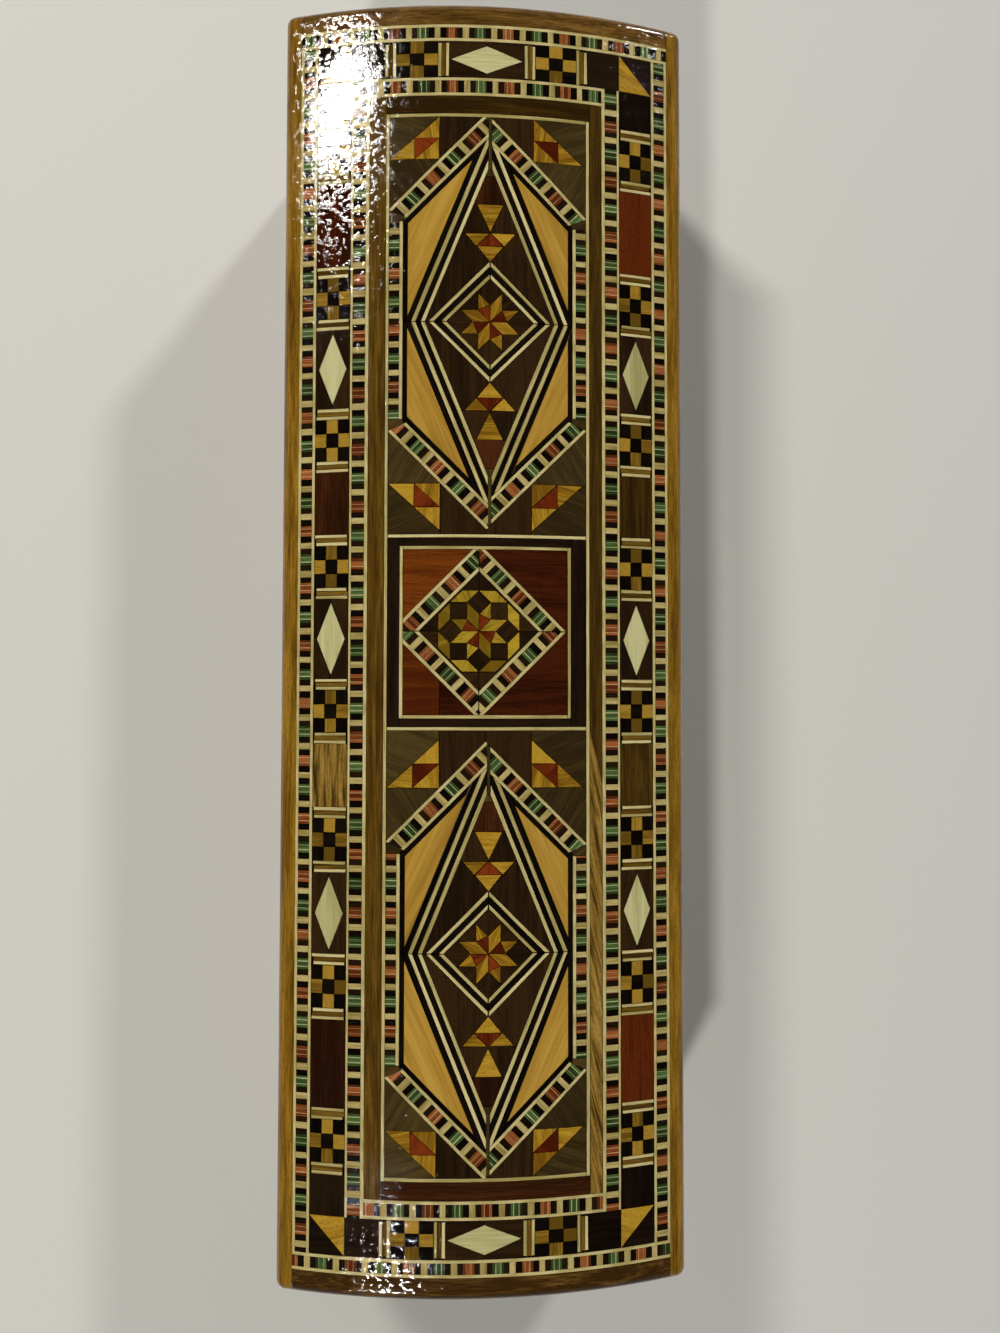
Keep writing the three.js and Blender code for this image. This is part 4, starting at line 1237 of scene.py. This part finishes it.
def laySide(name):
    half, out, frameWood = sides["walls"][name]
    half, high = half - lid["joint"], (sides["high"] - sides["low"]) / 2
    rod, frameIn, line = sides["rods"], sides["rods"] + sides["frame"], sides["line"]
    fieldX, fieldY = half - frameIn - line, high - frameIn - line
    borders = (rod, sides["frame"], frameWood), (frameIn, line, "holly")
    pieces, strips = [], []
    for s in (1, -1):
        for inset, width, wood in borders:
            x, y = half - inset, high - inset
            pieces.append((rectangle(-x, x, *sorted((s * y, s * (y - width)))), wood, 0))
            pieces.append((rectangle(*sorted((s * x, s * (x - width))), width - y, y - width), wood, 90))
        upright = 2 * (high - rod) - 2 * lid["joint"]
        for centre, degrees, length, red, seed in (
            ((0, s * (high - rod / 2)), 0, 2 * half, 1.3 + s, 50 + s),
            ((s * (half - rod / 2), 0), 90, upright, 2 * s, 60 + s),
        ):
            strips.append(rodStrip(centre, degrees, length, rod, red, arched=False, seed=seed))
    pieces += starSquare(sides["starSquare"])
    columns, rows = sides["checker"]
    wide = fieldY * 2 / rows * columns
    blocks = [("checker", wide), ("rhombus", sides["rhombus"]), ("checker", wide), ("dark", fieldX)]
    if name.endswith("end"):
        blocks = [("checker", wide), ("red", fieldX)]
    x, drawn = sides["starSquare"], []
    for kind, width in blocks:
        drawn += doubleLine(x, -fieldY, fieldY)
        x += bandPlan["doubleLine"]
        end = min(x + width, fieldX)
        if kind == "checker":
            drawn += checkers(x, end, -fieldY, fieldY, columns, rows)
        elif kind == "rhombus":
            drawn += longRhombus(x, end, fieldY)
        elif kind == "red":
            drawn.append((rectangle(x, end, -fieldY, fieldY), "padauk", 90))
        else:
            a, b, c, d = rectangle(x, end, -fieldY, fieldY)
            drawn += [([a, b, d], "goldenTile", 30), ([b, c, d], "darkWalnut", 0)]
        x = end
    pieces += moved(drawn) + moved(drawn, flipX=-1)
    place = Vector(out) + Vector((0, 0, (sides["low"] + sides["high"]) / 2))
    for piece, slot in (
        (tesseraObject(name + "_marquetry", pieces, arched=False), "inlay_ground"),
        (joinPieces(strips, name + "_rods"), "rod_mosaic"),
    ):
        piece.data.transform(stood(place * mm, out, (0, 0, 1)))
        settle(piece, "case", slot, name + "_inlay")


for name in sides["walls"]:
    laySide(name)
print("side marquetry laid")

hinges = {
    "x": 62.0, "pinZ": 34.1, "recess": 0.1, "screwY": 30.2,
    "Spacing": 9.0, "Head Radius": 1.05, "Head Height": 0.5, "Slot Width": 0.32, "proud": 0.05,
}


def brassMaterial():
    brass, add, dress = newMaterial("aged brass")  # warm, softly brushed, browned in its low spots
    stain = add("TexNoise", {
        "Vector": add("TexCoord", out="Object"), "Scale": 350, "Detail": 5,
    })
    dress({
        "Base Color": add("ValToRGB", [stain], stops=((0.35, "#7a5c26"), (0.62, "#c39a4a"))),
        "Roughness": add("MapRange", {"Value": stain, "To Min": 0.48, "To Max": 0.26}),
        "Metallic": 1,
    })
    return brass


def screwTree(material):
    # slotted heads along a leaf, each turned its own way
    tree, add, given = newTree(
        "leafScrews", Float=["Spacing", "Head Radius", "Head Height", "Slot Width"], Vector=["Start"],
        Int=["Count", "Seed"],
    )
    thick = given["Head Height"]
    line = add("GeometryNodeMeshLine", {
        "Count": given["Count"], "Start Location": given["Start"],
        "Offset": add("CombineXYZ", {0: given["Spacing"]}),
    })
    head = add("GeometryNodeMeshCylinder", {"Vertices": 24, "Radius": given["Head Radius"], "Depth": thick})
    wide = add("Math MULTIPLY", (given["Head Radius"], 3.0))
    lift = add("Math MULTIPLY", (thick, 0.7))
    slot = add("GeometryNodeTransform", {
        "Geometry": add("GeometryNodeMeshCube", {
            "Size": add("CombineXYZ", (wide, given["Slot Width"], thick)),
        }),
        "Translation": add("CombineXYZ", {2: lift}),
    })
    turn = add("FunctionNodeRandomValue", {2: 0.0, 3: 3.14, 8: given["Seed"]}, 1, data_type="FLOAT")
    screws = add("GeometryNodeInstanceOnPoints", {
        "Points": line, "Instance": add("GeometryNodeMeshBoolean", (head, slot), operation="DIFFERENCE"),
        "Rotation": add("CombineXYZ", {2: turn}),
    })
    solid = add("GeometryNodeRealizeInstances", [screws])
    add("NodeGroupOutput", [add("GeometryNodeSetMaterial", {"Geometry": solid, "Material": material})], None)
    return tree


brass = brassMaterial()
leafScrews = screwTree(brass)
for number, (side, sign) in enumerate([("left", -1), ("right", 1)]):
    for part, body, up in (("case_leaf", "case", 1), ("lid_leaf", "lid", -1), ("pin", "case", 0)):
        node = f"hinge_{side}_{part}"
        settle(link(node + "_brass", dressedCopy(node, node + "_brass", brass)), body, "brass", node)
        if not up:
            continue
        sizes = {key: hinges[key] * mm for key in ("Spacing", "Head Radius", "Head Height", "Slot Width")}
        screws = runTree(leafScrews, f"hinge_{side}_{body}_screws", {
            **sizes, "Start": (-sizes["Spacing"] / 2, 0.0, 0.0), "Count": 2, "Seed": 3 * number + up,
        })
        high = hinges["pinZ"] + up * (hinges["proud"] - hinges["recess"] - hinges["Head Height"] / 2)
        spot = Matrix.Translation(Vector((sign * hinges["x"], hinges["screwY"], high)) * mm)
        screws.data.transform(spot @ Matrix.Rotation(0 if up > 0 else math.pi, 4, "X"))
        settle(screws, body, "brass")
print("hinges fitted")

# Velvet lining
lining = {
    "padHalf": (102.3, 26.8), "padEdge": 1.1, "padHigh": 2.0, "crown": 0.5, "low": 4.0,
    "wallHalf": (103.8, 28.3), "wallThick": 1.2, "wallTop": 33.0, "wallCorner": 1.5,
    "lidDepth": (3.9, 5.1), "lidEdge": 0.8, "hem": 0.3,
}


def velvetMaterial():
    velvet, add, dress = newMaterial("crimson velvet")  # deep red pile that pales at glancing angles
    place = add("TexCoord", out="Object")
    brushed, pile = (
        add("TexNoise", {"Vector": place, "Scale": scale, "Detail": 2}) for scale in (55, 3500)
    )
    nap = add("Math MULTIPLY", (brushed, pile))
    dress({
        "Base Color": add("ValToRGB", [nap], stops=((0.1, "#4f0b15"), (0.45, "#7d1623"))),
        "Normal": add("Bump", {"Height": pile, "Strength": 0.6, "Distance": 0.15 * mm}),
        "Roughness": 0.95, "Specular IOR Level": 0.15,
        "Sheen Weight": 0.7, "Sheen Roughness": 0.35, "Sheen Tint": "#d9636f",
    })
    return velvet


velvet = velvetMaterial()


def gridFaces(numbers):
    # quads between neighbours in a table of vertex numbers
    corners = numbers[:-1, :-1], numbers[1:, :-1], numbers[1:, 1:], numbers[:-1, 1:]
    return np.stack(corners, -1).reshape(-1, 4).tolist()


def velvetPiece(name, places, faces, body, node):
    mesh = bpy.data.meshes.new(name)
    mesh.from_pydata([[c * mm for c in place] for place in places], [], faces)
    mesh.materials.append(velvet)
    mesh.shade_smooth()
    return settle(link(name, mesh), body, "velvet", node)


def stations(half, edge, step):
    # positions across a piece, closer together where its edges are rounded
    rounding = [half - edge * (1 - math.sin(a * math.pi / 12)) for a in range(1, 7)]
    inner = half - edge
    count = max(2, round(2 * inner / step))
    middle = [-inner + 2 * inner * i / count for i in range(1, count)]
    return [-x for x in reversed(rounding)] + [-inner] + middle + [inner] + rounding


def rounded(distance, edge):
    return math.sqrt(max(0.0, 1 - (1 - min(distance / edge, 1)) ** 2))


def blanket(name, half, edge, upper, lower, body, node):
    # a closed sheet over a rectangle: upper and lower give a height for x, y and how far in the edge is
    xs, ys = stations(half[0], edge, 6.0), stations(half[1], edge, 3.0)
    inX, inY = ({v: rounded(h - abs(v), edge) for v in vs} for h, vs in zip(half, (xs, ys)))
    spots = [(x, y, inX[x] * inY[y]) for x in xs for y in ys]
    places = [(x, y, height(x, y, inset)) for height in (upper, lower) for x, y, inset in spots]
    count = len(spots)
    top = np.arange(count).reshape(len(xs), len(ys))
    edgeRing = np.concatenate([top[0], top[1:, -1], top[-1, -2::-1], top[-2::-1, 0]])
    faces = gridFaces(top) + gridFaces(top.T + count) + gridFaces(np.stack([edgeRing, edgeRing + count], 1))
    return velvetPiece(name, places, faces, body, node)


def softPad():
    low, high = lining["low"], lining["padHigh"]
    halfX, halfY = lining["padHalf"]

    def top(x, y, inset):
        crown = lining["crown"] * (1 - (x / halfX) ** 2) * (1 - (y / halfY) ** 2)
        waves = 0.05 * math.sin(x / 9.0) * math.cos(y / 7.0 + x / 23.0)
        return low + 0.5 + (high - 0.5) * inset + (crown + waves) * inset

    pad = blanket(
        "floor_pad_velvet", lining["padHalf"], lining["padEdge"], top, lambda x, y, inset: low,
        "case", "floor_pad",
    )


def lidSheet():
    near, far = lining["lidDepth"]
    near2 = near + lining["hem"]
    sheet = blanket(
        "lid_lining_velvet", lining["wallHalf"], lining["lidEdge"],
        lambda x, y, inset: archHeight(y) - near,
        lambda x, y, inset: archHeight(y) - near2 - (far - near2) * inset,
        "lid", "lid_lining",
    )


def wallSheet():
    halfX, halfY = lining["wallHalf"]
    thick, top, low, corner = lining["wallThick"], lining["wallTop"], lining["low"], lining["wallCorner"]
    path = []  # place and inward way
    for k, (sx, sy) in enumerate([(1, 1), (-1, 1), (-1, -1), (1, -1)]):
        for step in range(7):
            cos, sin = polar(1, 90 * k + 15 * step)
            x, y = sx * (halfX - corner) + corner * cos, sy * (halfY - corner) + corner * sin
            path.append((x, y, -cos, -sin))
        length = 2 * (halfX if k in (0, 2) else halfY) - 2 * corner
        x, y, inX, inY = path[-1]
        count = round(length / 5)
        for step in range(1, count):
            run = length * step / count
            path.append((x + run * inY, y - run * inX, inX, inY))
    section = [(0, low), (0, top - 0.5), (0.15, top - 0.15), (0.5, top), (0.85, top - 0.12),
               (1.12, top - 0.45), (thick, top - 1.2), (thick + 0.05, 20), (thick, low)]
    places = [(x + inX * t, y + inY * t, z) for x, y, inX, inY in path for t, z in section]
    numbers = np.pad(np.arange(len(places)).reshape(len(path), -1), ((0, 1), (0, 1)), "wrap")
    sheet = velvetPiece("wall_lining_velvet", places, gridFaces(numbers.T), "case", "wall_lining")


softPad()
lidSheet()
wallSheet()
print("velvet laid")

sizes = {"cad": [list(corner) for corner in cadBox], "visual": [list(corner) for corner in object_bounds()]}
